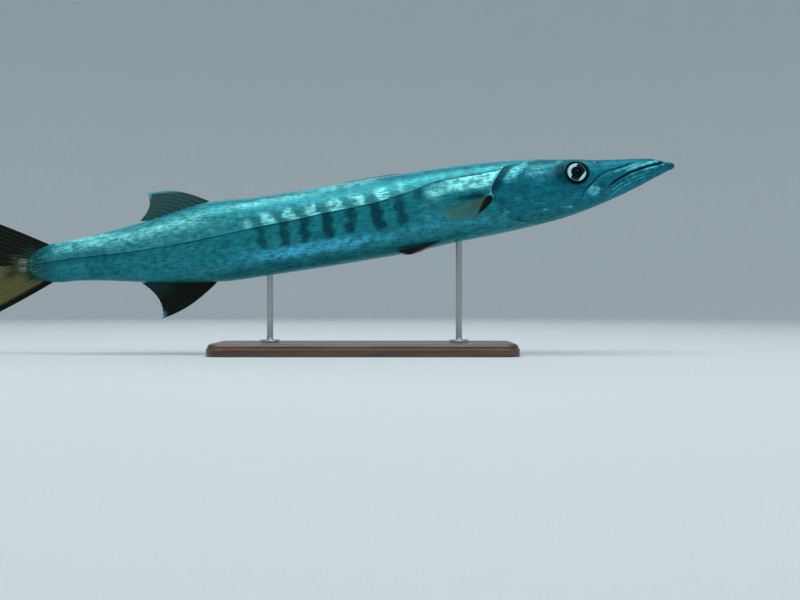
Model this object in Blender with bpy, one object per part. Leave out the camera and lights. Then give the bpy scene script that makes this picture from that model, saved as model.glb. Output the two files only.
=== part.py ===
"""A life-size great barracuda, swimming nose up, held on a plain display stand by two rods.

The fish has a frame of its own. u runs back from the tip of the lower jaw along the straight axis of
the body, h is the height above that axis, and y points to the fish's left. An empty tips this frame
nose up. Sizes are in millimetres, and become metres where a mesh is made.
"""

import bisect
import math

import bmesh
import bpy
import numpy as np
from mathutils import Matrix, Vector

MM = 0.001
GAP = 0.3  # between solids that touch
NOSE_UP = math.radians(8.8)
SNOUT_TIP = (450.0, 0.0, 275.0)  # in the stand's frame, whose origin is under the base

# Profiles of the body in side view, as (u, h), and of its half-width, as (u, y).
BACK = (
    (10, 5.5), (20, 9.6), (34, 14.6), (60, 18.0), (90, 21.2), (120, 25.0), (145, 29.5),
    (180, 35.5), (220, 41.0), (265, 45.0), (330, 47.8), (420, 48.0), (600, 46.8), (660, 50.0),
    (682, 50.0), (720, 44.6), (764, 37.3), (800, 33.2), (840, 28.8), (880, 26.0), (905, 25.6),
    (925, 21.5), (940, 14.0), (950, 4.0),
)  # fmt: skip
BELLY = (
    (10, -7.0), (20, -10.8), (34, -15.3), (60, -24.5), (100, -36.3), (145, -47.0),
    (190, -54.0), (250, -58.8), (330, -62.5), (420, -67.6), (640, -68.2), (682, -66.0),
    (782, -51.0), (840, -39.8), (880, -33.8), (905, -32.2), (925, -27.5), (940, -19.0),
    (950, -8.0),
)  # fmt: skip
HALF_WIDTH = (
    (10, 6.4), (34, 12.0), (90, 20.5), (145, 28.0), (220, 38.0), (290, 42.5), (420, 45.0),
    (600, 42.5), (720, 34.5), (800, 26.5), (880, 18.0), (905, 13.5), (925, 9.0), (940, 6.0),
    (950, 3.5),
)  # fmt: skip
# Squareness of a section: 2 is an ellipse, and more has flatter sides.
BACK_SQUARENESS = ((10, 2.2), (60, 2.6), (145, 3.0), (220, 2.5), (330, 2.25), (950, 2.1))
BELLY_SQUARENESS = ((10, 2.1), (145, 2.1), (330, 2.3), (600, 2.3), (800, 2.1), (950, 2.0))
NOSE_CAP = 10.0  # the rounded front of the lower jaw
TAIL_END = 950.0
TAIL_CAP = 3.0

# Where the body is parted.
GILL_EDGE = (
    (222, 70), (238, 44), (250, 31), (263, 17), (271, 4), (270, -8), (265, -22), (256, -36),
    (244, -45), (226, -51), (208, -60), (190, -75),
)  # fmt: skip
GAPE = ((8, 9.5), (16, 6.3), (24, 4.6), (40, 3.2), (55, 0.6), (69, -2.3), (82, -7.0), (93, -11.2),
    (102, -16.5), (106, -20.0))  # fmt: skip
JAW_JOINT = ((110, -27), (118, -40), (122, -75))
TRUNK_MIDDLE = 520.0
TAIL_START = 800.0

# Forms of the head.
GILL_COVER = {"front": 185.0, "rear": 266.0, "swell": 2.4, "top": 34.0, "bottom": -56.0, "fade": 10.0}
MAXILLA_TOP = ((40, 13.6), (50, 12.8), (61, 11.3), (75, 7.8), (90, 5.2), (104, 2.7), (112, -0.6),
    (119, -4.3), (126, -9.5), (132, -13.5))  # fmt: skip
MAXILLA_END = ((135.5, -18), (133.5, -24), (127, -27), (118, -25.5), (111, -21.5))
MAXILLA_SWELL = 1.5
LIP_OVER_GAPE = 1.2
LOWER_LIP_RADIUS = 1.5
PREOPERCLE = ((219, 32), (226, 20), (230, 8), (229, -4), (225, -15), (217, -29), (205, -40))
GROOVE_RADIUS = 0.9
NOSTRILS = ((112.0, 19.0, 1.1), (120.0, 19.5, 1.5))  # u, h and radius
EYE_PLACE = (146.0, 9.5)
EYE_LOOK = Vector((0.12, 0.95, 0.27)).normalized()  # forward, left and up, for the left eye
EYE_RADIUS = 16.4
EYE_THICKNESS = 9.0
EYE_SUNK = 4.6
ORBIT_RADIUS = 15.4
ORBIT_RIM = 1.7

# Fins. How thick a ray and the web between rays are, at the root and at the margin.
RAY_ROOT, RAY_TIP = 2.6, 0.9
WEB_ROOT, WEB_TIP = 1.0, 0.5
OUTER_RAY = 0.8  # the first and the last ray are thinner by this share
ROOT_SUNK = 5.0  # how deep a fin starts under the skin, before it is trimmed

# Median fins, as (u, h) of the first and last ray. hollow is how far the margin curves in, and bow
# how far the first ray bends at its middle.
SECOND_DORSAL = {
    "rays": 10, "roots": ((673, 49.5), (762, 37.0)), "tips": ((764, 76.5), (784, 39.0)),
    "hollow": 12.0, "bow": 9.0, "sink": -ROOT_SUNK,
}  # fmt: skip
ANAL_FIN = {
    "rays": 10, "roots": ((681, -65.5), (778, -51.5)), "tips": ((769, -107.0), (800, -50.0)),
    "hollow": 14.0, "bow": 6.5, "sink": ROOT_SUNK,
}  # fmt: skip
# The spines of the first dorsal fin, folded back into the ridge of the back.
FIRST_DORSAL = {
    "rays": 5, "first_root": 396.0, "last_root": 452.0, "first_tip": 430.0, "last_tip": 478.0,
    "height": 2.6, "lift": 1.5, "bow": 0.8,
}  # fmt: skip
# The tail fin has a frame of its own, tilted from the body's, with back and up from its middle.
TAIL_FIN = {
    "root": 918.0, "middle": -3.0, "tilt": math.radians(5.5), "rays": 10, "half_root": 25.0,
    "root_bulge": 26.0, "root_lead": 6.0, "sunk": 9.0, "lobe": 152.0, "fork": 80.0,
    "half_span": 96.0, "notch": 7.0, "notch_at": 0.32, "notch_width": 0.14, "bow": 3.0,
}  # fmt: skip
# Paired fins. root is (u, h) of the first ray, base the way to the last ray's root, lead and last
# the directions of those rays, all as (back, out, up).
PECTORAL = {
    "rays": 12, "root": (276.0, -6.5), "base": (4.0, -0.2, -9.5), "lead": (0.975, 0.17, -0.13),
    "last": (0.78, 0.28, -0.52), "lengths": (73.0, 28.0), "spread": 1.9, "curl": 1.5,
    "inward": (0.0, -1.0, 0.25),
}  # fmt: skip
PELVIC = {
    "rays": 6, "root": (352.0, -57.0), "base": (7.0, -5.0, -2.6), "lead": (0.985, 0.12, -0.09),
    "last": (0.96, -0.06, -0.26), "lengths": (66.0, 36.0), "spread": 1.3, "curl": 0.8,
    "inward": (0.0, -1.0, 0.9),
}  # fmt: skip

# The stand.
BASE_SIZE = (440.0, 150.0, 18.0)
BASE_CORNER = 22.0
BASE_EDGE = 3.0
ROD_RADIUS = 4.5
ROD_FOOT_RADIUS = 14.0
ROD_FOOT_HEIGHT = 4.0
ROD_FILLET = 1.5
ROD_SIDES = 20
ROD_INTO_BELLY = 12.0  # how far a rod reaches past the belly, before it is trimmed
ROD_STATIONS = (326.0, 604.0)  # u where each rod meets the belly

RING = 40  # corners round a section of the body
STATIONS = (
    *np.linspace(NOSE_CAP, 274, 34),
    *np.linspace(294, 880, 27),
    892, 905, 915, 925, 933, 940, 946, TAIL_END,
)  # fmt: skip

SILVER = ((0.12, 0.33, 0.35), 0.34, 0.55)  # colour, roughness and metallic value
JAW_SILVER = ((0.03, 0.14, 0.18), 0.38, 0.4)
STEM_SILVER = ((0.05, 0.20, 0.22), 0.34, 0.5)
DARK_FIN = ((0.006, 0.02, 0.016), 0.5, 0.0)
OLIVE_FIN = ((0.06, 0.085, 0.035), 0.5, 0.0)
PALE_FIN = ((0.08, 0.2, 0.19), 0.5, 0.0)
EYE_GLASS = ((0.01, 0.04, 0.06), 0.08, 0.0)
STAND_WOOD = ((0.05, 0.03, 0.02), 0.5, 0.0)
STAND_STEEL = ((0.5, 0.5, 0.5), 0.3, 1.0)


def clear_scene():
    for obj in list(bpy.data.objects):
        bpy.data.objects.remove(obj)


def smooth_step(x):
    x = min(max(x, 0.0), 1.0)
    return x * x * (3 - 2 * x)


def along(curve, u):
    """The value at u of a smooth curve through (u, value) points."""
    us, values = zip(*curve)
    u = min(max(u, us[0]), us[-1])
    i = min(bisect.bisect_right(us, u), len(us) - 1) - 1
    span = us[i + 1] - us[i]
    t = (u - us[i]) / span

    def slope(k):
        before, after = max(k - 1, 0), min(k + 1, len(us) - 1)
        return (values[after] - values[before]) / (us[after] - us[before]) * span

    h00, h10 = 2 * t**3 - 3 * t**2 + 1, t**3 - 2 * t**2 + t
    h01, h11 = -2 * t**3 + 3 * t**2, t**3 - t**2
    return h00 * values[i] + h10 * slope(i) + h01 * values[i + 1] + h11 * slope(i + 1)


def smooth_line(points, steps):
    """A smooth line of straight steps through points of the side view."""
    marks = list(range(len(points)))
    across = [(k, p[0]) for k, p in zip(marks, points)]
    up = [(k, p[1]) for k, p in zip(marks, points)]
    places = np.linspace(0, marks[-1], steps + 1)
    return [(along(across, m), along(up, m)) for m in places]


def power(x, exponent):
    return math.copysign(abs(x) ** exponent, x)


def section(u):
    """Middle height, half depth and half width of the body's section at u."""
    station = max(u, NOSE_CAP)
    top, bottom = along(BACK, station), along(BELLY, station)
    half_width = along(HALF_WIDTH, station)
    share = 1.0
    if u < NOSE_CAP:
        share = math.sqrt(max(1 - (1 - u / NOSE_CAP) ** 2, 0.0))
    return (top + bottom) / 2, (top - bottom) / 2 * share, half_width * share


def skin_point(u, angle, swell):
    """A point (u, y, h) of the skin. The angle runs from the fish's left side up over the back."""
    middle, half_depth, half_width = section(u)
    c, s = math.cos(angle), math.sin(angle)
    squareness = along(BACK_SQUARENESS if s >= 0 else BELLY_SQUARENESS, u)
    y = half_width * power(c, 2 / squareness)
    h = middle + half_depth * power(s, 2 / squareness)
    more = swell(u, h)
    return u, y + more * c, h + more * s


def flank_y(u, h, swell):
    """How far out the skin lies at u and h."""
    middle, half_depth, half_width = section(u)
    squareness = along(BACK_SQUARENESS if h >= middle else BELLY_SQUARENESS, u)
    inside = max(1 - (abs(h - middle) / half_depth) ** squareness, 0.0)
    return half_width * inside ** (1 / squareness) + swell(u, h)


def even(amount):
    """A swelling that is the same all over."""
    return lambda u, h: amount


def gill_cover_swell(u, h):
    """The gill covers stand proud of the trunk at their rear edge, and fade into the head."""
    g = GILL_COVER
    rise = smooth_step((u - g["front"]) / (g["rear"] - g["front"]))
    window = smooth_step((g["top"] - h) / g["fade"]) * smooth_step((h - g["bottom"]) / g["fade"])
    return g["swell"] * rise * window


def maxilla_swell(u, h):
    return gill_cover_swell(u, h) + MAXILLA_SWELL


def place(u, y, h):
    """A point of the fish's frame in metres: x forward, y to the left, z up."""
    return Vector((-u, y, h)) * MM


def mesh_object(name, points, faces):
    """An object of that mesh, in metres, all triangles and facing out."""
    mesh = bpy.data.meshes.new(name)
    mesh.from_pydata([tuple(p) for p in points], [], faces)
    shape = bmesh.new()
    shape.from_mesh(mesh)
    bmesh.ops.triangulate(shape, faces=shape.faces, quad_method="FIXED")
    bmesh.ops.recalc_face_normals(shape, faces=shape.faces)
    if shape.calc_volume(signed=True) < 0:
        bmesh.ops.reverse_faces(shape, faces=shape.faces)
    shape.to_mesh(mesh)
    shape.free()
    obj = bpy.data.objects.new(name, mesh)
    bpy.context.scene.collection.objects.link(obj)
    return obj


def bake(obj):
    """Applies the object's modifiers."""
    bpy.context.view_layer.update()
    graph = bpy.context.evaluated_depsgraph_get()
    obj.data = bpy.data.meshes.new_from_object(obj.evaluated_get(graph))
    obj.modifiers.clear()


def keep_largest(obj):
    """Drops every loose scrap and sealed hollow, which leaves one closed surface."""
    shape = bmesh.new()
    shape.from_mesh(obj.data)
    left, shells = set(shape.verts), []
    while left:
        front = [left.pop()]
        shell = set(front)
        while front:
            vert = front.pop()
            near = {edge.other_vert(vert) for edge in vert.link_edges} & left
            left -= near
            shell |= near
            front.extend(near)
        shells.append(shell)
    largest = max(shells, key=len)
    loose = [v for shell in shells if shell is not largest for v in shell]
    bmesh.ops.delete(shape, geom=loose, context="VERTS")
    shape.to_mesh(obj.data)
    shape.free()


def combine(obj, others, operation):
    """One Boolean of an object with several others, applied. The others are then removed."""
    group = bpy.data.collections.new("boolean pieces")
    for other in others:
        group.objects.link(other)
    modifier = obj.modifiers.new(operation.title(), "BOOLEAN")
    modifier.operation = operation
    modifier.operand_type = "COLLECTION"
    modifier.collection = group
    modifier.solver = "EXACT"
    bake(obj)
    for other in others:
        bpy.data.objects.remove(other)
    bpy.data.collections.remove(group)
    keep_largest(obj)


def body_loft(name, start, end, swell):
    """A closed length of the body, from u = start to end."""
    cap = start < NOSE_CAP
    inner = [u for u in STATIONS if start < u < end]
    stations = [start, *inner, end]
    if cap:
        turns = [math.radians(a) for a in (22, 44, 66)]
        stations = [NOSE_CAP * (1 - math.cos(a)) for a in turns] + [*inner, end]
    points, faces = [], []
    for u in stations:
        for k in range(RING):
            points.append(place(*skin_point(u, 2 * math.pi * k / RING, swell)))
    for i in range(len(stations) - 1):
        for k in range(RING):
            a, b = i * RING + k, i * RING + (k + 1) % RING
            faces.append((a, a + RING, b + RING, b))
    out = swell(end, 0)
    nose = place(-out if cap else start, 0, section(start)[0])
    tail = place(end + (TAIL_CAP + out if end >= TAIL_END else 0), 0, section(end)[0])
    last = (len(stations) - 1) * RING
    for k in range(RING):
        following = (k + 1) % RING
        faces.append((k, following, len(points)))
        faces.append((last + following, last + k, len(points) + 1))
    points += [nose, tail]
    return mesh_object(name, points, faces)


def side_prism(name, outline, reach=120.0):
    """A block through the body with that outline in side view."""
    count = len(outline)
    points = [place(u, side * reach, h) for side in (-1, 1) for u, h in outline]
    faces = [tuple(range(count)), tuple(range(2 * count - 1, count - 1, -1))]
    for k in range(count):
        following = (k + 1) % count
        faces.append((k, k + count, following + count, following))
    return mesh_object(name, points, faces)


def tube(name, path, radius, sides=6):
    """A closed tube of short straight lengths along points in metres."""
    points, faces = [], []
    for i, point in enumerate(path):
        ahead = (path[min(i + 1, len(path) - 1)] - path[max(i - 1, 0)]).normalized()
        across = ahead.cross(Vector((0, 1, 0))).normalized()
        out = across.cross(ahead).normalized()
        for k in range(sides):
            turn = 2 * math.pi * k / sides
            points.append(point + (across * math.cos(turn) + out * math.sin(turn)) * radius * MM)
    for i in range(len(path) - 1):
        for k in range(sides):
            a, b = i * sides + k, i * sides + (k + 1) % sides
            faces.append((a, a + sides, b + sides, b))
    faces.append(tuple(range(sides)))
    faces.append(tuple(range(len(points) - 1, len(points) - 1 - sides, -1)))
    return mesh_object(name, points, faces)


def on_skin(line, side, swell):
    """Points of the side view laid on the skin of one side."""
    return [place(u, side * flank_y(u, h, swell), h) for u, h in line]


def ellipsoid(name, centre, look, radius, thickness, segments=20, rings=10):
    """A ball flattened along the look direction."""
    bpy.ops.mesh.primitive_uv_sphere_add(segments=segments, ring_count=rings, radius=radius * MM)
    made = bpy.context.object
    turn = look.to_track_quat("Z", "Y").to_matrix().to_4x4()
    flat = Matrix.Diagonal((1, 1, thickness / radius, 1))
    made.data.transform(Matrix.Translation(centre) @ turn @ flat)
    made.name = name
    return made


def ring_round(name, centre, look, radius, rim):
    """A torus whose axis is the look direction."""
    bpy.ops.mesh.primitive_torus_add(
        major_segments=24, minor_segments=8, major_radius=radius * MM, minor_radius=rim * MM
    )
    made = bpy.context.object
    turn = look.to_track_quat("Z", "Y").to_matrix().to_4x4()
    made.data.transform(Matrix.Translation(centre) @ turn)
    made.name = name
    return made


def gill_region(grow):
    """All that lies ahead of the rear edge of the gill covers."""
    edge = [(u + grow, h) for u, h in smooth_line(GILL_EDGE, 22)]
    return side_prism("ahead of the gills", [(-60, 70), *edge, (-60, -75)])


def jaw_region(grow):
    """All that lies below the gape and ahead of the joint of the lower jaw."""
    line = [(u, h + grow) for u, h in smooth_line(GAPE, 16)]
    joint = [(u + grow, h) for u, h in JAW_JOINT]
    return side_prism("lower jaw region", [(-60, 12 + grow), *line, *joint, (-60, -75)])


def eye_pose(side):
    """Where an eyeball's middle and its look direction are."""
    u, h = EYE_PLACE
    look = Vector((EYE_LOOK.x, side * EYE_LOOK.y, EYE_LOOK.z))
    surface = place(u, side * flank_y(u, h, gill_cover_swell), h)
    return surface - look * EYE_SUNK * MM, look, surface


def maxilla_plates():
    """The upper lip and cheek plate of both sides, cut from a slightly larger head."""
    lip = [(u, h + LIP_OVER_GAPE) for u, h in smooth_line(GAPE[2:], 10)]
    outline = [*smooth_line(MAXILLA_TOP, 10), *MAXILLA_END, *reversed(lip)]
    plate = body_loft("maxillae", 30, 140, maxilla_swell)
    combine(plate, [side_prism("maxilla outline", outline)], "INTERSECT")
    return plate


def make_head():
    head = body_loft("head", 0, 290, gill_cover_swell)
    combine(head, [gill_region(0)], "INTERSECT")
    combine(head, [jaw_region(GAP)], "DIFFERENCE")
    rims, hollows = [maxilla_plates()], []
    for side in (-1, 1):
        centre, look, surface = eye_pose(side)
        rims.append(ring_round("orbit", surface, look, ORBIT_RADIUS, ORBIT_RIM))
        hollows.append(ellipsoid("socket", centre, look, EYE_RADIUS + GAP, EYE_THICKNESS + GAP))
        for u, h, radius in NOSTRILS:
            mouth = place(u, side * flank_y(u, h, even(0)), h)
            hollows.append(ellipsoid("nostril", mouth, look, radius, 2 * radius, 8, 6))
        edge = on_skin(smooth_line(PREOPERCLE, 14), side, gill_cover_swell)
        hollows.append(tube("preopercle groove", edge, GROOVE_RADIUS))
    combine(head, rims, "UNION")
    combine(head, hollows, "DIFFERENCE")
    return head


def make_lower_jaw():
    jaw = body_loft("lower_jaw", 0, 150, even(0))
    combine(jaw, [jaw_region(0)], "INTERSECT")
    line = [(u, h - LOWER_LIP_RADIUS - GAP) for u, h in smooth_line(GAPE[1:-1], 14)]
    lips = [tube("lower lip", on_skin(line, side, even(-0.4)), LOWER_LIP_RADIUS) for side in (-1, 1)]
    combine(jaw, lips, "UNION")
    return jaw


def make_eye(side, name):
    centre, look, _ = eye_pose(side)
    return ellipsoid(name, centre, look, EYE_RADIUS, EYE_THICKNESS)


def make_trunk():
    front = body_loft("trunk_front", 200, TRUNK_MIDDLE - GAP / 2, even(0))
    combine(front, [gill_region(GAP + 0.1)], "DIFFERENCE")
    rear = body_loft("trunk_rear", TRUNK_MIDDLE + GAP / 2, TAIL_START - GAP / 2, even(0))
    return front, rear


def make_tail_stem():
    return body_loft("tail_stem", TAIL_START + GAP / 2, TAIL_END, even(0))


def thickness(on_ray, share):
    """How thick a fin is, at a share of the way from its root to its margin."""
    first, last = (RAY_ROOT, RAY_TIP) if on_ray else (WEB_ROOT, WEB_TIP)
    return first + (last - first) * share


def fin_blade(name, rays, steps, root, tip, sunk, bow, normal):
    """A fin with a ridge along each ray. root, tip and sunk give points in metres from 0, the first
    ray, to 1, the last. bow gives how far a ray bends at its middle, as a vector in metres."""
    columns = 2 * rays - 1
    shares = [0, *np.linspace(0.02, 1, steps)]
    sheets = ([], [])
    for c in range(columns):
        t = c / (columns - 1)
        outer = OUTER_RAY if c in (0, columns - 1) else 1.0
        for r, s in enumerate(shares):
            point = sunk(t) if r == 0 else root(t).lerp(tip(t), s) + bow(t) * math.sin(math.pi * s)
            half = normal(t) * thickness(c % 2 == 0, s) * outer / 2 * MM
            sheets[0].append(point + half)
            sheets[1].append(point - half)
    rows, other = len(shares), len(sheets[0])
    faces = []
    for c in range(columns - 1):
        for r in range(rows - 1):
            a, b = c * rows + r, (c + 1) * rows + r
            for corners in ((a, b, b + 1), (a, b + 1, a + 1)):
                faces.append(corners)
                faces.append(tuple(k + other for k in reversed(corners)))
    edge = list(range(rows))
    edge += [c * rows + rows - 1 for c in range(1, columns)]
    edge += [(columns - 1) * rows + r for r in range(rows - 2, -1, -1)]
    edge += [c * rows for c in range(columns - 2, 0, -1)]
    for a, b in zip(edge, edge[1:] + edge[:1]):
        faces.append((a, b, b + other, a + other))
    return mesh_object(name, [*sheets[0], *sheets[1]], faces)


def sideways(t):
    """The normal of every fin in the middle plane."""
    return Vector((0, 1, 0))


def trim_to_body(fin, start, end):
    """Cuts away what lies in the body, and leaves the gap between solids that touch."""
    combine(fin, [body_loft("body to clear", start, end, even(GAP))], "DIFFERENCE")
    return fin


def make_median_fin(name, fin):
    """A raised fin in the middle plane."""

    def between(ends, t):
        return [a + (b - a) * t for a, b in zip(*ends)]

    def root(t):
        u, h = between(fin["roots"], t)
        return place(u, 0, h)

    def tip(t):
        u, h = between(fin["tips"], t)
        return place(u - fin["hollow"] * math.sin(math.pi * t) ** 0.8, 0, h)

    def sunk(t):
        u, h = between(fin["roots"], t)
        return place(u, 0, h + fin["sink"])

    def bow(t):
        return Vector((0, 0, -math.copysign(fin["bow"] * (1 - t), fin["sink"]))) * MM

    blade = fin_blade(name, fin["rays"], 6, root, tip, sunk, bow, sideways)
    return trim_to_body(blade, TRUNK_MIDDLE, TAIL_START + 20)


def make_first_dorsal():
    """Spines folded back along the ridge of the back, with their web between them."""
    fin = FIRST_DORSAL

    def on_ridge(first, last, t, up):
        u = fin[first] + (fin[last] - fin[first]) * t
        return place(u, 0, along(BACK, u) + up)

    def root(t):
        return on_ridge("first_root", "last_root", t, 0)

    def tip(t):
        return on_ridge("first_tip", "last_tip", t, fin["height"] * (1 - t) + fin["lift"])

    def sunk(t):
        return on_ridge("first_root", "last_root", t, -ROOT_SUNK)

    def bow(t):
        return Vector((0, 0, fin["bow"] * MM))

    blade = fin_blade("dorsal_fin_first", fin["rays"], 5, root, tip, sunk, bow, sideways)
    return trim_to_body(blade, 360, TRUNK_MIDDLE)


def tail_frame(back, up):
    """A point of the tail fin's own tilted frame."""
    f = TAIL_FIN
    c, s = math.cos(f["tilt"]), math.sin(f["tilt"])
    return place(f["root"] + back * c - up * s, 0, f["middle"] + back * s + up * c)


def make_tail_lobe(side, name):
    """One lobe of the forked tail fin, from its outer ray in. Side is 1 above and -1 below."""
    f = TAIL_FIN
    start = GAP / 2 + 0.1  # how far the innermost ray keeps from the fish's middle

    def root_back(out):
        return f["root_bulge"] * (1 - out**2) - f["root_lead"] * out

    def root(t):
        out = 1 - t
        return tail_frame(root_back(out), side * (start + (f["half_root"] - GAP) * out))

    def sunk(t):
        out = 1 - t
        up = side * (start + (f["half_root"] - GAP) * out * 0.8)
        return tail_frame(root_back(out) - f["sunk"], up)

    def tip(t):
        out = 1 - t
        notch = f["notch"] * math.exp(-(((out - f["notch_at"]) / f["notch_width"]) ** 2))
        back = f["fork"] + (f["lobe"] - f["fork"]) * out**1.25 + notch
        return tail_frame(back, side * (start + (f["half_span"] - GAP) * out**1.05))

    def bow(t):
        return Vector((0, 0, side * f["bow"] * (1 - t))) * MM

    blade = fin_blade(name, f["rays"], 8, root, tip, sunk, bow, sideways)
    return trim_to_body(blade, TAIL_START, TAIL_END)


def make_paired_fin(name, side, fin, start, end):
    """A paired fin, trimmed to the body between u = start and end. Side is 1 on the left."""
    u, h = fin["root"]
    first = place(u, side * flank_y(u, h, even(0)), h)

    def vector(v):
        return Vector((-v[0], side * v[1], v[2]))

    def root(t):
        return first + vector(fin["base"]) * t * MM

    def direction(t):
        return vector(fin["lead"]).lerp(vector(fin["last"]), t ** fin["spread"]).normalized()

    def tip(t):
        long, short = fin["lengths"]
        return root(t) + direction(t) * (long + (short - long) * t ** fin["spread"]) * MM

    def sunk(t):
        return root(t) + vector(fin["inward"]).normalized() * ROOT_SUNK * MM

    def normal(t):
        return direction(t).cross(vector(fin["base"])).normalized()

    def bow(t):
        return normal(t) * side * fin["curl"] * MM

    blade = fin_blade(name, fin["rays"], 6, root, tip, sunk, bow, normal)
    return trim_to_body(blade, start, end)


def fish_frame():
    """Where the fish's frame lies in the frame of the stand."""
    return Matrix.Translation(Vector(SNOUT_TIP) * MM) @ Matrix.Rotation(-NOSE_UP, 4, "Y")


def make_base():
    """A board with rounded corners and eased edges."""
    length, width, height = BASE_SIZE
    corners = []
    for sx, sy, start in ((1, 1, 0), (-1, 1, 90), (-1, -1, 180), (1, -1, 270)):
        for k in range(6):
            turn = math.radians(start + 18 * k)
            x = sx * (length / 2 - BASE_CORNER) + BASE_CORNER * math.cos(turn)
            y = sy * (width / 2 - BASE_CORNER) + BASE_CORNER * math.sin(turn)
            corners.append((x, y))
    points = [Vector((x, y, z)) * MM for z in (0, height) for x, y in corners]
    count = len(corners)
    faces = [tuple(range(count - 1, -1, -1)), tuple(range(count, 2 * count))]
    faces += [(k, (k + 1) % count, (k + 1) % count + count, k + count) for k in range(count)]
    mesh = bpy.data.meshes.new("stand_base")
    mesh.from_pydata(points, [], faces)
    shape = bmesh.new()
    shape.from_mesh(mesh)
    upper = [e for e in shape.edges if all(v.co.z > height * MM / 2 for v in e.verts)]
    bmesh.ops.bevel(shape, geom=upper, offset=BASE_EDGE * MM, segments=3, profile=0.5, affect="EDGES")
    shape.to_mesh(mesh)
    shape.free()
    base = bpy.data.objects.new("stand_base", mesh)
    bpy.context.scene.collection.objects.link(base)
    return base


def make_rod(station, name):
    """A rod with a turned foot, which rises from the base to the belly."""
    belly = fish_frame() @ place(station, 0, along(BELLY, station))
    foot = BASE_SIZE[2] + GAP
    shoulder = foot + ROD_FOOT_HEIGHT
    profile = (
        (ROD_FOOT_RADIUS, foot), (ROD_FOOT_RADIUS, shoulder - 1), (ROD_FOOT_RADIUS - 1, shoulder),
        (ROD_RADIUS + ROD_FILLET, shoulder), (ROD_RADIUS, shoulder + ROD_FILLET),
        (ROD_RADIUS, belly.z / MM + ROD_INTO_BELLY),
    )  # fmt: skip
    points, faces = [], []
    for radius, z in profile:
        for k in range(ROD_SIDES):
            turn = 2 * math.pi * k / ROD_SIDES
            x, y = belly.x / MM + radius * math.cos(turn), radius * math.sin(turn)
            points.append(Vector((x, y, z)) * MM)
    for i in range(len(profile) - 1):
        for k in range(ROD_SIDES):
            a, b = i * ROD_SIDES + k, i * ROD_SIDES + (k + 1) % ROD_SIDES
            faces.append((a, b, b + ROD_SIDES, a + ROD_SIDES))
    faces.append(tuple(range(ROD_SIDES)))
    faces.append(tuple(range(len(points) - 1, len(points) - 1 - ROD_SIDES, -1)))
    rod = mesh_object(name, points, faces)
    body = body_loft("body to clear", station - 60, station + 60, even(GAP))
    body.matrix_world = fish_frame()
    combine(rod, [body], "DIFFERENCE")
    return rod


def finish_of(name, look):
    """A Principled material of that colour, roughness and metallic value."""
    colour, roughness, metallic = look
    material = bpy.data.materials.new(name)
    material.use_nodes = True
    shader = material.node_tree.nodes["Principled BSDF"]
    shader.inputs["Base Color"].default_value = (*colour, 1.0)
    shader.inputs["Roughness"].default_value = roughness
    shader.inputs["Metallic"].default_value = metallic
    return material


def dress(objects, name, look):
    material = finish_of(name, look)
    for obj in objects:
        obj.data.materials.clear()
        obj.data.materials.append(material)
        obj.data.shade_smooth()
        obj.data.set_sharp_from_angle(angle=math.radians(40))


def main():
    clear_scene()
    pose = bpy.data.objects.new("fish_pose", None)
    bpy.context.scene.collection.objects.link(pose)

    head = make_head()
    jaw = make_lower_jaw()
    eyes = [make_eye(1, "eye_left"), make_eye(-1, "eye_right")]
    trunk_front, trunk_rear = make_trunk()
    stem = make_tail_stem()
    first_dorsal = make_first_dorsal()
    second_dorsal = make_median_fin("dorsal_fin_second", SECOND_DORSAL)
    anal = make_median_fin("anal_fin", ANAL_FIN)
    tail_lobes = [make_tail_lobe(1, "tail_fin_upper"), make_tail_lobe(-1, "tail_fin_lower")]
    sides = ((1, "left"), (-1, "right"))
    pectorals = [make_paired_fin(f"pectoral_fin_{s}", k, PECTORAL, 240, 420) for k, s in sides]
    pelvics = [make_paired_fin(f"pelvic_fin_{s}", k, PELVIC, 320, 500) for k, s in sides]
    base = make_base()
    rods = [
        make_rod(station, name)
        for station, name in zip(ROD_STATIONS, ("stand_rod_front", "stand_rod_rear"))
    ]

    dress([head, trunk_front, trunk_rear], "silver skin", SILVER)
    dress([jaw], "jaw skin", JAW_SILVER)
    dress([stem], "tail stem skin", STEM_SILVER)
    dress(eyes, "eye", EYE_GLASS)
    dress([second_dorsal, anal, first_dorsal, tail_lobes[0]], "dark fin", DARK_FIN)
    dress([tail_lobes[1]], "olive fin", OLIVE_FIN)
    dress([*pectorals, *pelvics], "pale fin", PALE_FIN)
    dress([base], "stained wood", STAND_WOOD)
    dress(rods, "brushed steel", STAND_STEEL)

    fish = [head, jaw, *eyes, trunk_front, trunk_rear, stem, first_dorsal, second_dorsal, anal]
    for obj in [*fish, *tail_lobes, *pectorals, *pelvics]:
        obj.parent = pose
    pose.location = Vector(SNOUT_TIP) * MM
    pose.rotation_euler = (0, -NOSE_UP, 0)


main()
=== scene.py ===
"""The looks of a life-size great barracuda on a plain display stand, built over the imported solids.

The fish has a frame of its own. u runs back from the tip of the lower jaw along the straight axis of
the body, h is the height above that axis, and y points to the fish's left. Sizes are in millimetres,
and become metres where a mesh is made. The skin, the scales and the markings are worked out for the
left side and mirrored.
"""

import math

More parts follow.
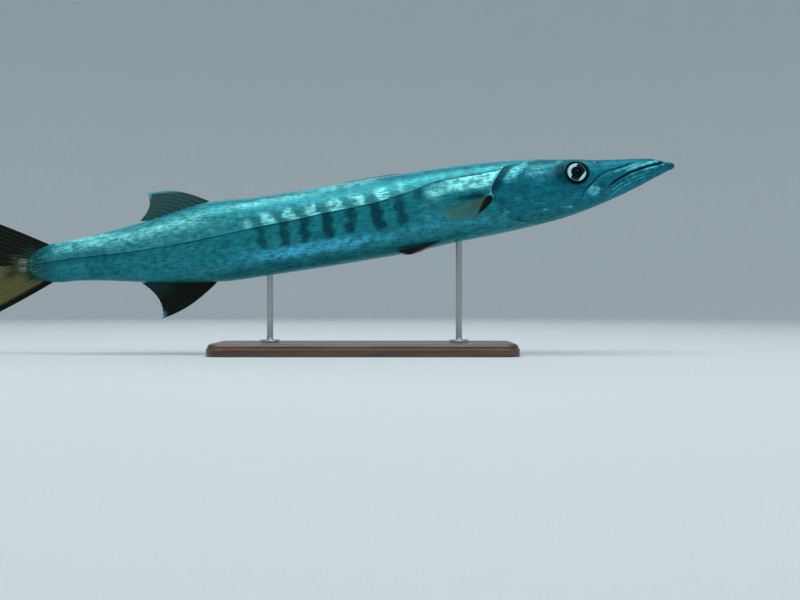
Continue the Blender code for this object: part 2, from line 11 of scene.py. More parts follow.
import bmesh
import bpy
import numpy as np
from bpy.props import FloatProperty, FloatVectorProperty, IntProperty, PointerProperty
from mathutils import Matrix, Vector

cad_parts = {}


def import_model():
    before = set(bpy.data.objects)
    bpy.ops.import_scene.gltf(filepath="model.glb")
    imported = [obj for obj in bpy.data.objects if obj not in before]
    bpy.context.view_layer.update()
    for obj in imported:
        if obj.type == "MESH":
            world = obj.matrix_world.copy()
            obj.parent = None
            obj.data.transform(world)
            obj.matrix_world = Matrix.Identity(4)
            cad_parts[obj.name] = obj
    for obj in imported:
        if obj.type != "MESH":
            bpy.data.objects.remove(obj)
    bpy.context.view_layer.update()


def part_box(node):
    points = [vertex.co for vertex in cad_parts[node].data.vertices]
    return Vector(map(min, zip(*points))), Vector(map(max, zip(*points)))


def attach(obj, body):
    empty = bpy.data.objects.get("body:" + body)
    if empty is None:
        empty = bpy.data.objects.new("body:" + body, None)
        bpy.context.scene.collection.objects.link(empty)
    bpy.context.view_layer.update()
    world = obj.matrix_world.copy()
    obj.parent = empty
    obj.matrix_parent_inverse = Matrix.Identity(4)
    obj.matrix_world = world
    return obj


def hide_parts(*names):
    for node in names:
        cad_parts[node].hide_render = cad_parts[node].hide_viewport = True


bl_info = {
    "name": "Barracuda display model",
    "version": (1, 0, 0),
    "blender": (4, 5, 0),
    "location": "View3D > Sidebar > Barracuda",
    "description": "Builds the skin, scales, fins, eyes and stand of a life-size great barracuda",
    "category": "Add Mesh",
}

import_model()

MM = 0.001
NOSE_UP = math.radians(8.8)
SNOUT_TIP = (450.0, 0.0, 275.0)  # in the stand's frame, whose origin is under the base

# Profiles of the body in side view, as (u, h), and of its half-width, as (u, y).
BACK = (
    (10, 5.5), (20, 9.6), (34, 14.6), (60, 18.0), (90, 21.2), (120, 25.0), (145, 29.5),
    (180, 35.5), (220, 41.0), (265, 45.0), (330, 47.8), (420, 48.0), (600, 46.8), (660, 50.0),
    (682, 50.0), (720, 44.6), (764, 37.3), (800, 33.2), (840, 28.8), (880, 26.0), (905, 25.6),
    (925, 21.5), (940, 14.0), (950, 4.0),
)
BELLY = (
    (10, -7.0), (20, -10.8), (34, -15.3), (60, -24.5), (100, -36.3), (145, -47.0),
    (190, -54.0), (250, -58.8), (330, -62.5), (420, -67.6), (640, -68.2), (682, -66.0),
    (782, -51.0), (840, -39.8), (880, -33.8), (905, -32.2), (925, -27.5), (940, -19.0),
    (950, -8.0),
)
HALF_WIDTH = (
    (10, 6.4), (34, 12.0), (90, 20.5), (145, 28.0), (220, 38.0), (290, 42.5), (420, 45.0),
    (600, 42.5), (720, 34.5), (800, 26.5), (880, 18.0), (905, 13.5), (925, 9.0), (940, 6.0),
    (950, 3.5),
)
# Squareness of a section: 2 is an ellipse, and more has flatter sides.
BACK_SQUARENESS = ((10, 2.2), (60, 2.6), (145, 3.0), (220, 2.5), (330, 2.25), (950, 2.1))
BELLY_SQUARENESS = ((10, 2.1), (145, 2.1), (330, 2.3), (600, 2.3), (800, 2.1), (950, 2.0))
NOSE_CAP = 10.0
TAIL_END = 950.0
TAIL_CAP = 3.0
SKIN_INSET = 0.3  # the skin lies inside the solids by the scales' height
SIDES = (("left", 1), ("right", -1))  # as a piece's name says it, and the sign of its y
GIRTH_STEPS = 240  # straight lengths that measure the way round a section

# Lines of the head in side view, as (u, h), and under it, as (u, y).
GILL_EDGE = (
    (222, 70), (238, 44), (250, 31), (263, 17), (271, 4), (270, -8), (265, -22), (256, -36),
    (244, -45), (226, -51), (208, -60), (190, -75),
)
GILL_UNDER = ((240, 31), (228, 24), (213, 15), (196, 9.0), (178, 5.5), (156, 3.5), (126, 2.0))
GAPE = (
    (8, 9.5), (16, 6.3), (24, 4.6), (40, 3.2), (55, 0.6), (69, -2.3), (82, -7.0), (93, -11.2),
    (102, -16.5), (106, -20.0),
)
MAXILLA_TOP = (
    (40, 13.6), (50, 12.8), (61, 11.3), (75, 7.8), (90, 5.2), (104, 2.7), (112, -0.6),
    (119, -4.3), (126, -9.5), (132, -13.5),
)
MAXILLA_END = ((135.5, -18), (133.5, -24), (127, -27), (118, -25.5), (111, -21.5))
MAXILLA_FOLD = ((132, -13.5), (138.5, -17.5), (143, -25.5), (148, -32), (150, -38))
CHEEK_FOLD = ((218, -20.5), (205, -26), (191, -32), (177, -36), (160, -37.5))
PREOPERCLE = ((219, 32), (226, 20), (230, 8), (229, -4), (225, -15), (217, -29), (205, -40))
BROW = ((126, 23.5), (138, 27.5), (152, 28.5), (168, 27.0))
NOSTRILS = ((112.0, 19.0, 1.1), (120.0, 19.5, 1.5))
LIP_FOLD = 4.6  # spacing of the folds along the lower lip
HEAD_END = 300.0  # behind this u the head has neither forms nor marks
# The lines that near_line measures from, each with the number of straight steps that it is drawn in.
HEAD_LINES = {
    "behind_gill": (GILL_EDGE, 40), "behind_cheek": (PREOPERCLE, 30), "above_gape": (GAPE, 40),
    "maxilla_top": (MAXILLA_TOP, 24), "fold": (MAXILLA_FOLD, 12), "cheek_fold": (CHEEK_FOLD, 16),
    "brow": (BROW, 16),
}

# Bounds of soft forms and marks: a measure, its value where they begin and the one where they are full.
SIDE_ON = ("sideways", 0.10, 0.35)
UPPER = ("upward", 0.35, 0.7)
UNDER = ("upward", -0.25, -0.55)
COVER = (("h", 34, 24), ("h", -56, -46))
CHEEK = (SIDE_ON, ("h", 34, 28), ("h", -42, -34))
AHEAD_OF_GILL = ("behind_gill", 1, -1)
ABOVE_LINE = ("above_line", 0.4, 1.6)

# Ridges and grooves of the head: height, the distance that they follow, where on it their middle lies,
# width, and bounds. Those of the eye lie over the others.
HEAD_FORMS = (
    (-1.2, "behind_gill", 1.3, 1.0, *COVER), (0.5, "behind_gill", -2.0, 1.2, *COVER),
    (-0.8, "under_gill", 0, 1.0, UNDER), (0.6, "behind_cheek", -1.8, 2.4, *CHEEK),
    (-0.8, "behind_cheek", 0.5, 0.9, *CHEEK), (-0.3, "cheek_fold", 0, 1.3, SIDE_ON),
    (-0.8, "maxilla_top", 0.6, 1.1, SIDE_ON, ("u", 46, 66)), (-0.45, "fold", 0, 1.2, SIDE_ON),
    (-1.8, "above_gape", 0, 1.1, ("u", 7, 26), ("u", 108, 102)),
    (0.6, "above_gape", 3.6, 1.8, ("u", 7, 26), ("u", 84, 60)),
    (0.6, "above_gape", -3.0, 1.7, ("u", 7, 26), ("u", 106, 92)),
)
EYE_FORMS = ((1.15, "eye", 16.3, 1.3), (-0.4, "eye", 19.4, 1.4), (0.7, "brow", 0, 2.6, ("eye", 16, 19)))
# Painted shade in the creases of the head, and its pale lines, in the same form, with their strength in place
# of a height.
CREASE_SHADES = (
    (1.0, "above_gape", 0, 1.7, ("u", 106, 96), ("u", 15, 20)),
    (0.9, "maxilla_top", 0.3, 1.3, ("u", 52, 76)), (0.75, "fold", 0, 1.1, ("u", 152, 143)),
    (0.85, "behind_gill", -1.0, 1.2, ("h", 33, 29), ("h", -18, -2)),
    (0.25, "behind_gill", -0.6, 1.2, ("h", -8, -20)),
    (0.4, "behind_cheek", 0.5, 1.0, ("h", 22, 10), ("h", -36, -22)),
    (1.05, "eye", 16.1, 2.0), (0.5, "in_maxilla", -0.3, 0.9, ("u", 112, 120)),
)
PALE_LINES = (
    (1.1, "behind_gill", 1.4, 1.3, ("h", 34, 31), ("h", -14, 0)),
    (0.35, "behind_gill", 1.0, 1.2, ("h", 0, -16), ("h", -48, -34)),
    (1.3, "above_gape", 4.2, 1.7, ("u", 20, 30), ("u", 88, 54)),
    (0.7, "maxilla_top", -3.0, 1.4, ("u", 44, 54), ("u", 112, 82)),
    (0.9, "above_gape", -3.3, 1.2, ("u", 12, 20), ("u", 92, 42)),
    (0.3, "cheek_fold", 0.6, 1.2), (0.2, "behind_cheek", -1.8, 1.2, ("h", -10, -22)),
)
# Silver of the trunk with painted highlights and reflections along it, and bands of painted shade and painted
# shadow on the flank, in the same form.
SILVER_AND_HIGHLIGHT_BANDS = (
    (0.45, "above_line", 35, 6, ABOVE_LINE, ("u", 400, 450), ("u", 720, 600)),
    (0.6, "h", 24.5, 3.5, ("u", 790, 850), ("u", 915, 885)),
    (1.0, "h", -41, 9, ("u", 370, 500), ("u", 700, 560)),
    (0.35, "h", -37, 9, ("u", 262, 290), ("u", 440, 370)),
    (0.3, "h", -20, 14, ("u", 300, 330), ("u", 400, 360)),
    (0.3, "h", -18, 8, ("u", 850, 870), ("u", 925, 895)),
)
# The first is the painted shadow of the pectoral fin on the flank above it; the second darkens the flank just
# above the lateral line near the tail.
SHADES = (
    (1.0, "h", -4, 5.0, ("u", 280, 288), ("u", 350, 295)),
    (0.35, "above_line", 0, 9, ABOVE_LINE, ("u", 770, 860)),
)

EYE_PLACE = (146.0, 9.5)
EYE_LOOK = np.array([-0.12, 0.95, 0.27]) / np.linalg.norm([0.12, 0.95, 0.27])  # (u, y, h), left eye
EYE_RADIUS = 16.4
EYE_THICKNESS = 9.0
EYE_SUNK = 4.6
ORBIT_RADIUS = 15.2

LINE_START = 266.0  # the first tube of the lateral line stands behind this u
# The lateral line in side view. The dark bars that cross it: u at the line, half-width, u and h of
# the lower end, and how dark each is above and below the line.
LATERAL_LINE = (
    (240, 34.0), (252, 31.0), (262, 29.5), (280, 28.2), (310, 27.6), (340, 26.4), (352, 25.0),
    (364, 22.2), (380, 18.0), (396, 15.0), (410, 13.2), (422, 10.5), (440, 8.4), (470, 6.6),
    (500, 5.2), (520, 4.3), (550, 2.0), (600, 0.3), (640, -1.4), (670, -3.2), (700, -4.8),
    (750, -5.8), (800, -5.4), (850, -3.0), (880, -1.6), (930, 0.0), (958, 0.5),
)
BARS = (
    (376, 7.5, 374, 1, 0.1, 0.75), (405, 8.5, 402, -29, 0.2, 0.85), (439, 9.0, 434, -31, 0.35, 1.0),
    (472, 8.0, 477, -30, 0.4, 0.9), (508, 8.0, 507, -32, 0.45, 1.0), (539, 8.0, 544, -33, 0.45, 0.95),
    (570, 7.5, 571, -33, 0.5, 0.9), (604, 7.5, 602, -33, 0.5, 0.8), (630, 6.0, 630, -20, 0.2, 0.3),
)
BAR_LEAN = 0.5  # how far a bar leans back above the line, for each millimetre up
# Soft oval patches: u, h, half-length, half-height, and strength or height. FIN_ROOTS stand out from the
# body where the paired fins grow.
FIN_ROOTS = ((275, -11, 6.5, 7.5, 1.3), (355, -58, 9, 5, 0.8))
CHEEK_HOLLOW = ((160, -13, 17, 8, 0.7),)
GILL_SPOT = ((277, -5, 6, 2.5, 0.9),)
# A painted highlight on the silver behind the shoulder.
SHOULDER_SILVER_HIGHLIGHT = ((354, 9, 13, 9, 0.65),)
PALE_PATCHES = (
    (126, -19.0, 9.5, 9.0, 1.0), (216.5, 33, 3.5, 4, 0.9), (220, 29.5, 3.5, 3.5, 0.6),
    (224, 28, 8, 6, 0.4), (232, 24, 9, 7, 0.5), (240, 18.5, 9, 7, 0.5), (248, 12, 8, 6, 0.4),
    (209, 15, 6, 3, 0.7), (189, 21, 22, 7, 0.25), (168, 28.5, 6, 3, 0.5), (205, 19, 14, 9, 0.25),
    (164, -37.5, 6, 1.6, 0.6), (120, 19.5, 3.0, 2.2, 0.4), (200, 8, 14, 9, 0.2), (256, -33, 5, 5, 0.4),
    (198, -37, 6, 1.6, 0.5), (210, -27, 4, 2, 0.4), (238, -14, 7, 7, 0.2), (150, -27, 12, 4, 0.2),
)
# Patches of painted shade: behind and below the eye, in the cheek's hollow, low by the gill cover and at the
# tip of the jaw.
SHADE_PATCHES = (
    (168, 14, 9, 12, 1.1), (164, -3, 10, 8, 0.6), (260, -17, 5, 7, 0.6), (152, -14, 16, 5, 0.35),
    (178, 12, 8, 10, 0.35), (4, -1, 10, 7, 0.5),
)


def linear(colour):
    """Linear red, green and blue of an sRGB hex colour."""
    parts = [int(colour[k : k + 2], 16) / 255 for k in (1, 3, 5)]
    return [c / 12.92 if c <= 0.04045 else ((c + 0.055) / 1.055) ** 2.4 for c in parts]


def along(curve, u):
    """Values at u of a smooth curve through (u, value) points."""
    us, values = np.array(curve, float).T
    u = np.clip(u, us[0], us[-1])
    i = np.clip(np.searchsorted(us, u, side="right") - 1, 0, len(us) - 2)
    marks = np.arange(len(us))
    before, after = np.maximum(marks - 1, 0), np.minimum(marks + 1, len(us) - 1)
    slopes = (values[after] - values[before]) / (us[after] - us[before])
    span = us[i + 1] - us[i]
    t = (u - us[i]) / span
    rise = t * t * (3 - 2 * t)
    bend = slopes[i] * (t**3 - 2 * t**2 + t) + slopes[i + 1] * (t**3 - t**2)
    return values[i] * (1 - rise) + values[i + 1] * rise + span * bend


def smooth(x, begins, full):
    """0 at begins, 1 at full, which may be the lower of the two, and a smooth step between them."""
    t = np.clip((x - begins) / (full - begins), 0, 1)
    return t * t * (3 - 2 * t)


def bump(x, width):
    return np.exp(-((x / width) ** 2))


def mix(first, last, share):
    return first + (last - first) * share


def within(measures, *bounds):
    """The share of a form or mark that its bounds leave."""
    share = 1.0
    for name, begins, full in bounds:
        share = share * smooth(measures[name], begins, full)
    return share


def bands(measures, rows):
    """The sum of soft bands, whose rows are as in the tables above."""
    total = 0.0
    for strength, name, middle, width, *bounds in rows:
        total = total + strength * bump(measures[name] - middle, width) * within(measures, *bounds)
    return total


def patches(rows, u, h, power=1):
    """The sum of soft oval patches. A higher power makes them flatter, with firmer edges."""
    total = 0.0
    for middle_u, middle_h, half_length, half_height, strength in rows:
        reach = ((u - middle_u) / half_length) ** 2 + ((h - middle_h) / half_height) ** 2
        total = total + strength * np.exp(-(reach**power))
    return total


def smooth_line(points, steps):
    """A smooth line of straight steps through points of a view."""
    marks = np.arange(len(points))
    places = np.linspace(0, marks[-1], steps + 1)
    sides = [along([(k, p[axis]) for k, p in zip(marks, points)], places) for axis in (0, 1)]
    return np.stack(sides, axis=-1)


def near_line(line, x, y):
    """How far each point is from a line, positive on the left of the way it runs."""
    best = np.full(x.shape, np.inf)
    signed = np.zeros(x.shape)
    for (ax, ay), (bx, by) in zip(line[:-1], line[1:]):
        dx, dy = bx - ax, by - ay
        t = np.clip(((x - ax) * dx + (y - ay) * dy) / (dx * dx + dy * dy), 0, 1)
        ex, ey = x - ax - t * dx, y - ay - t * dy
        gap = np.hypot(ex, ey)
        nearer = gap < best
        best = np.where(nearer, gap, best)
        signed = np.where(nearer, np.where(dx * ey - dy * ex >= 0, gap, -gap), signed)
    return signed


def section(u):
    """Middle height, half depth and half width of the plain body at each u."""
    station = np.maximum(u, NOSE_CAP)
    top, bottom = along(BACK, station), along(BELLY, station)
    cap = np.sqrt(np.clip(1 - (1 - np.minimum(u, NOSE_CAP) / NOSE_CAP) ** 2, 0, 1))
    return (top + bottom) / 2, (top - bottom) / 2 * cap, along(HALF_WIDTH, station) * cap


def flank_y(u, h):
    """How far out the plain body lies at u and h."""
    middle, half_depth, half_width = section(np.asarray(u, float))
    squareness = along(BACK_SQUARENESS if h >= middle else BELLY_SQUARENESS, u)
    return float(half_width * (1 - (abs(h - middle) / half_depth) ** squareness) ** (1 / squareness))


def body_points(u, rise):
    """Points (u, y, h) of the plain body's left side, one row for each u. rise is the share of the
    way round from the belly, 0, to the back, 1, as measured on the skin."""
    middle, half_depth, half_width = (x[:, None] for x in section(u))
    turn = np.linspace(0, np.pi, GIRTH_STEPS + 1)[None, :]
    out, up = np.sin(turn), -np.cos(turn)
    squareness = np.where(
        up >= 0, along(BACK_SQUARENESS, u)[:, None], along(BELLY_SQUARENESS, u)[:, None]
    )
    y = half_width * np.abs(out) ** (2 / squareness)
    h = middle + half_depth * np.sign(up) * np.abs(up) ** (2 / squareness)
    steps = np.hypot(np.diff(y, axis=1), np.diff(h, axis=1))
    way = np.concatenate([np.zeros((len(u), 1)), np.cumsum(steps, axis=1)], axis=1)
    rows = [
        (np.interp(r * w[-1], w, ys), np.interp(r * w[-1], w, hs))
        for r, w, ys, hs in zip(rise, way, y, h)
    ]
    ys, hs = (np.array(column) for column in zip(*rows))
    return np.stack([np.broadcast_to(u[:, None], rise.shape), ys, hs], axis=-1)


def half_girth(u):
    """The way round from the belly to the back."""
    rise = np.broadcast_to(np.linspace(0, 1, 80), (len(u), 80))
    points = body_points(u, rise)
    return np.linalg.norm(np.diff(points, axis=1), axis=-1).sum(axis=1)


def unit(vectors):
    return vectors / np.maximum(np.linalg.norm(vectors, axis=-1, keepdims=True), 1e-9)


def body_frame(u, rise):
    """The way back along the skin and the normal out of it, both as (u, y, h)."""
    back = body_points(u + 0.5, rise) - body_points(np.maximum(u - 0.5, 0.05), rise)
    up = body_points(u, np.minimum(rise + 0.004, 1)) - body_points(u, np.maximum(rise - 0.004, 0))
    normal = np.cross(up, back)  # u runs against x, which turns the rule round
    return unit(back), unit(normal)


def eye_distance(points):
    """How far each point is from the axis of the left eye."""
    centre = np.array([EYE_PLACE[0], flank_y(*EYE_PLACE), EYE_PLACE[1]])
    way = points - centre
    across = way - (way @ EYE_LOOK)[..., None] * EYE_LOOK
    return np.where(np.abs(way @ EYE_LOOK) < 16, np.linalg.norm(across, axis=-1), 99.0)


def head_measures(points):
    """u and h of points of the left side, and how far they are from the named lines of the head."""
    u, y, h = np.moveaxis(points, -1, 0)
    lines = {name: smooth_line(line, steps) for name, (line, steps) in HEAD_LINES.items()}
    measures = {name: near_line(line, u, h) for name, line in lines.items()}
    plate = np.vstack([lines["maxilla_top"], smooth_line(MAXILLA_END, 12), lines["above_gape"][:6:-1]])
    measures["in_maxilla"] = -near_line(np.vstack([plate, plate[:1]]), u, h)
    measures["under_gill"] = near_line(smooth_line(GILL_UNDER, 30), u, y)
    return measures | {"u": u, "h": h, "eye": eye_distance(points)}


def head_relief(points, normals):
    """How far the skin of the head stands out from the plain body."""
    u, y, h = np.moveaxis(points, -1, 0)
    d = head_measures(points) | {"sideways": np.abs(normals[..., 1]), "upward": normals[..., 2]}
    side_on = within(d, SIDE_ON)
    out = 2.4 * within(d, ("u", 185, 266), ("behind_gill", 0.9, -0.5), *COVER)
    out += 1.2 * within(d, ("in_maxilla", -0.6, 1.0), ("u", 30, 62)) * side_on
    folds = within(d, ("above_gape", -4.5, -7), ("above_gape", -17, -12), ("u", 24, 40), ("u", 112, 98))
    out += 0.24 * np.sin(2 * np.pi * d["above_gape"] / LIP_FOLD) * folds * side_on
    out += bands(d, HEAD_FORMS)

    # The eye sits in a socket 7 mm deep, which cuts away the other forms.
    eye = d["eye"]
    out = out * smooth(eye, 14, 17) - 7.0 * smooth(eye, ORBIT_RADIUS, ORBIT_RADIUS - 3.2)
    out += bands(d, EYE_FORMS) - patches(CHEEK_HOLLOW, u, h) * side_on
    for nostril_u, nostril_h, radius in NOSTRILS:
        gap = np.hypot(u - nostril_u, h - nostril_h)
        out += (0.35 * bump(gap - 1.9 * radius, 0.8) - 1.6 * bump(gap, radius)) * side_on

    # A ridge on each side of the snout's top and a groove between them, and two folds on each side of
    # the throat.
    width = along(HALF_WIDTH, u)
    snout = within(d, ("u", 34, 60), ("u", 150, 120), UPPER)
    out += (0.5 * bump(y - 0.42 * width, 2.4) - 0.35 * bump(y, 2.2)) * snout
    throat = within(d, UNDER, ("u", 230, 190))
    for share in (0.35, 0.62):
        out -= 0.3 * bump(y - share * width, 0.9) * throat
    return out


def fin_root_relief(points):
    """The fleshy roots of the paired fins, and the groove that holds the first dorsal fin."""
    u, y, h = np.moveaxis(points, -1, 0)
    groove = within({"u": u}, ("u", 384, 400), ("u", 486, 470)) * (h > 30)
    return patches(FIN_ROOTS, u, h) - bump(y, 1.5) * groove


def skin_points(u, rise):
    """Points (u, y, h) of the finished skin's left side, one row for each u."""
    points = body_points(u, rise)
    normals = body_frame(u, rise)[1]
    out = fin_root_relief(points)
    head = u < HEAD_END
    out[head] += head_relief(points[head], normals[head])
    return points + normals * (out - SKIN_INSET)[..., None]


def world(points):
    """Points (u, y, h) in millimetres as points of the stand's frame in metres."""
    u, y, h = np.moveaxis(np.asarray(points, float), -1, 0)
    c, s = math.cos(NOSE_UP), math.sin(NOSE_UP)
    x, z = SNOUT_TIP[0] - u * c - h * s, SNOUT_TIP[2] - u * s + h * c
    return np.stack([x, y + SNOUT_TIP[1], z], axis=-1) * MM


def fish_frame(points):
    """Points of the stand's frame in metres as (u, y, h) in millimetres."""
    x, y, z = np.moveaxis(np.asarray(points, float) / MM, -1, 0)
    x, z = x - SNOUT_TIP[0], z - SNOUT_TIP[2]
    c, s = math.cos(NOSE_UP), math.sin(NOSE_UP)
    return np.stack([-(x * c + z * s), y, z * c - x * s], axis=-1)


def turned(vectors):
    """Directions (u, y, h) as directions of the stand's frame."""
    return (world(vectors) - world(np.zeros(3))) / MM


def dark_bars(u, h, gap):
    """How dark the bars are, and how far they cover the bright flank between them."""
    covered, bar = np.zeros(u.shape), np.zeros(u.shape)
    for at, half, foot, lowest, above, below in BARS:
        crossing = float(along(LATERAL_LINE, at))
        down = np.clip((crossing - h) / (crossing - lowest), 0, 1)
        centre = np.where(gap > 0, at + BAR_LEAN * gap, mix(at, foot, down))
        # Its middle and its width waver up and down, each bar in its own way.
        centre += 1.4 * np.sin(0.27 * h + at)
        wide = half + 1.2 * np.sin(0.37 * h + 3 * at)
        across = smooth(np.abs(u - centre) - wide, 3.5, -3.5)
        reach = np.where(gap > 0, above * smooth(gap, 27, 13), below * smooth(h - lowest, -4, 4))
        covered = np.maximum(covered, across)
        bar = np.maximum(bar, across * reach)
    return bar, covered


def markings(points):
    """The named marks of the fish, its painted highlights and painted shade among them, at points (u, y, h)
    of either side, each as one number a point.
    """
    u, y, h = np.moveaxis(points, -1, 0)
    line, back, belly = along(LATERAL_LINE, u), along(BACK, u), along(BELLY, u)
    gap = h - line
    flank = np.where(gap > 0, gap / np.maximum(back - line, 1), gap / np.maximum(line - belly, 1))
    d = {"u": u, "h": h, "above_line": gap, "flank": flank}
    bar, covered = dark_bars(u, h, gap)

    # Silver of the flank with painted highlights and reflections over it: between the bars above the line,
    # towards the tail, behind the shoulder, and in the bands of the table.
    gleam = (1 - covered) * within(d, ABOVE_LINE, ("above_line", 24, 10), ("u", 384, 410), ("u", 650, 590))
    rear = within(d, ABOVE_LINE, ("u", 640, 720), ("u", 930, 890), ("flank", 0.1, 0.6))
    gleam += 0.6 * rear * (1 - 0.75 * smooth(flank, 0.6, 0.8))
    gleam += within(d, ("above_line", -1, -3), ("h", 3, 10), ("u", 372, 292))
    gleam += patches(SHOULDER_SILVER_HIGHLIGHT, u, h) * smooth(gap, 0, -2) + bands(d, SILVER_AND_HIGHLIGHT_BANDS)

    out = {name: np.zeros(u.shape) for name in ("head", "crease_shade", "pale", "shade")}
    near = u < HEAD_END
    left = np.stack([u, np.abs(y), h], axis=-1)
    for name, values in head_marks(left[near]).items():
        out[name][near] = values
    # Painted shade towards the tail: just under the lateral line, on the lower flank and on the underside of
    # the tail stem.
    under_line_shade = np.where(gap < 0, smooth(gap, -11, 0), 0) * smooth(u, 560, 860)
    lower = within(d, ("above_line", -0.5, -2.0), ("flank", -0.85, -0.7), ("u", 620, 860))
    stem = within(d, ("u", 770, 860), ("flank", -0.5, -0.95))
    out["shade"] += bands(d, SHADES) + 0.2 * under_line_shade + 0.3 * lower + 0.3 * stem
    out.update(flank=flank, line_gap=gap, bar=bar, gleam=np.clip(gleam, 0, 1.2), along=u)
    return out


def head_marks(points):
    """The head's own marks: where it is, the painted shade of its creases, its pale streaks, and its patches
    of painted shade.
    """
    d = head_measures(points)
    u, h = d["u"], d["h"]
    nape = within(d, ("h", 31, 36), ("u", 180, 214))
    head = within(d, ("behind_gill", 0.6, -0.6)) * (1 - nape)

    # Painted shade in the creases, in the gill slit under the head and in the nostrils.
    crease_shade = bands(d, CREASE_SHADES) + 0.5 * bump(d["under_gill"], 1.0) * (h < -30)
    for nostril_u, nostril_h, radius in NOSTRILS:
        crease_shade += 0.9 * bump(np.hypot(u - nostril_u, h - nostril_h), radius + 0.2)

    streaks = within(d, ("above_gape", -6, -8), ("above_gape", -20, -12), ("u", 30, 50), ("u", 118, 94))
    streaks = streaks * np.clip(np.sin(2 * np.pi * d["above_gape"] / LIP_FOLD), 0, 1)
    pale = bands(d, PALE_LINES) + 0.6 * streaks
    pale += patches(GILL_SPOT, u, h) + patches(PALE_PATCHES, u, h, power=2)

    # Painted shade along the rear of the gill cover, in patches, and round the eye's socket.
    cover_shade = (1.1, "behind_gill", -4.5, 5.5, ("h", -10, 4), ("h", 37, 28))
    shade = (bands(d, (cover_shade,)) + patches(SHADE_PATCHES, u, h)) * within(d, AHEAD_OF_GILL)
    shade += within(d, ("eye", 20.5, 15.5), ("eye", 12, 14))
    return {"head": head, "crease_shade": crease_shade, "pale": pale, "shade": shade}


def piece_from(name, points, faces, marks=None, materials=(), edges=()):
    """A smooth mesh object at the origin. marks are its named attributes, one value a point."""
    mesh = bpy.data.meshes.new(name)
    mesh.from_pydata(np.asarray(points).tolist(), edges, faces)
    write_marks(mesh, marks or {})
    for material in materials:
        mesh.materials.append(material)
    mesh.shade_smooth()
    obj = bpy.data.objects.new(name, mesh)
    bpy.context.scene.collection.objects.link(obj)
    return obj


def write_marks(mesh, marks):
    for name, values in marks.items():
        values = np.asarray(values, np.float32)
        kind, field = ("FLOAT", "value") if values.ndim == 1 else ("FLOAT_VECTOR", "vector")
        mesh.attributes.new(name, kind, "POINT").data.foreach_set(field, values.ravel())


def points_of(mesh):
    places = np.zeros(len(mesh.vertices) * 3)
    mesh.vertices.foreach_get("co", places)
    return places.reshape(-1, 3)


def face_outwards(mesh, merge=0.0):
    """Turns the faces of a closed mesh outwards, after joining points nearer than merge."""
    shape = bmesh.new()
    shape.from_mesh(mesh)
    if merge:
        bmesh.ops.remove_doubles(shape, verts=shape.verts, dist=merge)
    bmesh.ops.recalc_face_normals(shape, faces=shape.faces)
    shape.to_mesh(mesh)
    shape.free()


def hand_over(piece, slot, *nodes):
    """Gives a finished piece to the frame: it rides on the one body and stands for those nodes."""
    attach(piece, "root")
    if nodes:
        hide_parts(*nodes)


def connect(tree, made, inputs):
    """Sets a node's inputs, by name or number. Each is a value, an output, or a list of outputs."""
    for key, value in inputs.items():
        socket = made.inputs[key]
        if isinstance(value, (bpy.types.NodeSocket, list)):
            for source in value if isinstance(value, list) else [value]:
                tree.links.new(source, socket)
        else:
            socket.default_value = (*value, 1.0) if socket.type == "RGBA" else value


def node(tree, kind, inputs=None, output=0, stops=(), **settings):
    """Adds a node with its settings and links, and gives one of its outputs."""
    made = tree.nodes.new(kind)
    for name, value in settings.items():
        setattr(made, name, value)
    for place, (position, colour) in enumerate(stops):
        elements = made.color_ramp.elements
        stop = elements[place] if place < 2 else elements.new(position)
        stop.position = position
        stop.color = (*colour, 1.0)
    connect(tree, made, inputs or {})
    return made.outputs[output]


SOFT = {"interpolation_type": "SMOOTHSTEP"}
TIMES = {"operation": "MULTIPLY"}


def painted(tree, colour, coats):
    """Coats of paint over a colour. Each has its colour, its strength, and the measures of the surface
    that bound it, each with the value where the paint begins and the one where it is full."""
    for paint, share, *bounds in coats:
        for measure, begins, full in bounds:
            value = node(tree, "ShaderNodeAttribute", output="Fac", attribute_name=measure)
            bound = node(tree, "ShaderNodeMapRange", {0: value, 1: begins, 2: full}, **SOFT)
            share = node(tree, "ShaderNodeMath", {0: share, 1: bound}, **TIMES)
        colour = node(tree, "ShaderNodeMix", {0: share, 6: colour, 7: paint}, output=2, data_type="RGBA")
    return colour


def new_material(name):
    """An empty material, with its node tree and its shader."""
    material = bpy.data.materials.new(name)
    material.use_nodes = True
    return material, material.node_tree, material.node_tree.nodes["Principled BSDF"]


def grid_faces(rows, columns, ring=False, flip=False):
    """Quads between the points of a grid that are numbered row by row."""
    i, k = np.meshgrid(np.arange(rows - 1), np.arange(columns if ring else columns - 1), indexing="ij")
    a, b = i * columns + k, i * columns + (k + 1) % columns
    quads = np.stack([a, a + columns, b + columns, b], axis=-1).reshape(-1, 4)
    return [tuple(f) for f in (quads[:, ::-1] if flip else quads)]


def tube_faces(rows, columns):
    """Faces of a tube of rings. The two points after the rings close its first and its last end."""
    faces = grid_faces(rows, columns, ring=True)
    front, last = rows * columns, (rows - 1) * columns
    for k in range(columns):
        following = (k + 1) % columns
        faces += [(front, k, following), (front + 1, last + following, last + k)]
    return faces


def turned_rings(profile, segments, x=0.0):
    """Rings of points round an upright axis through (x, 0). profile has (radius, z)."""
    turns = 2 * np.pi * np.arange(segments) / segments
    return [(x + r * math.cos(a), r * math.sin(a), z) for r, z in profile for a in turns]


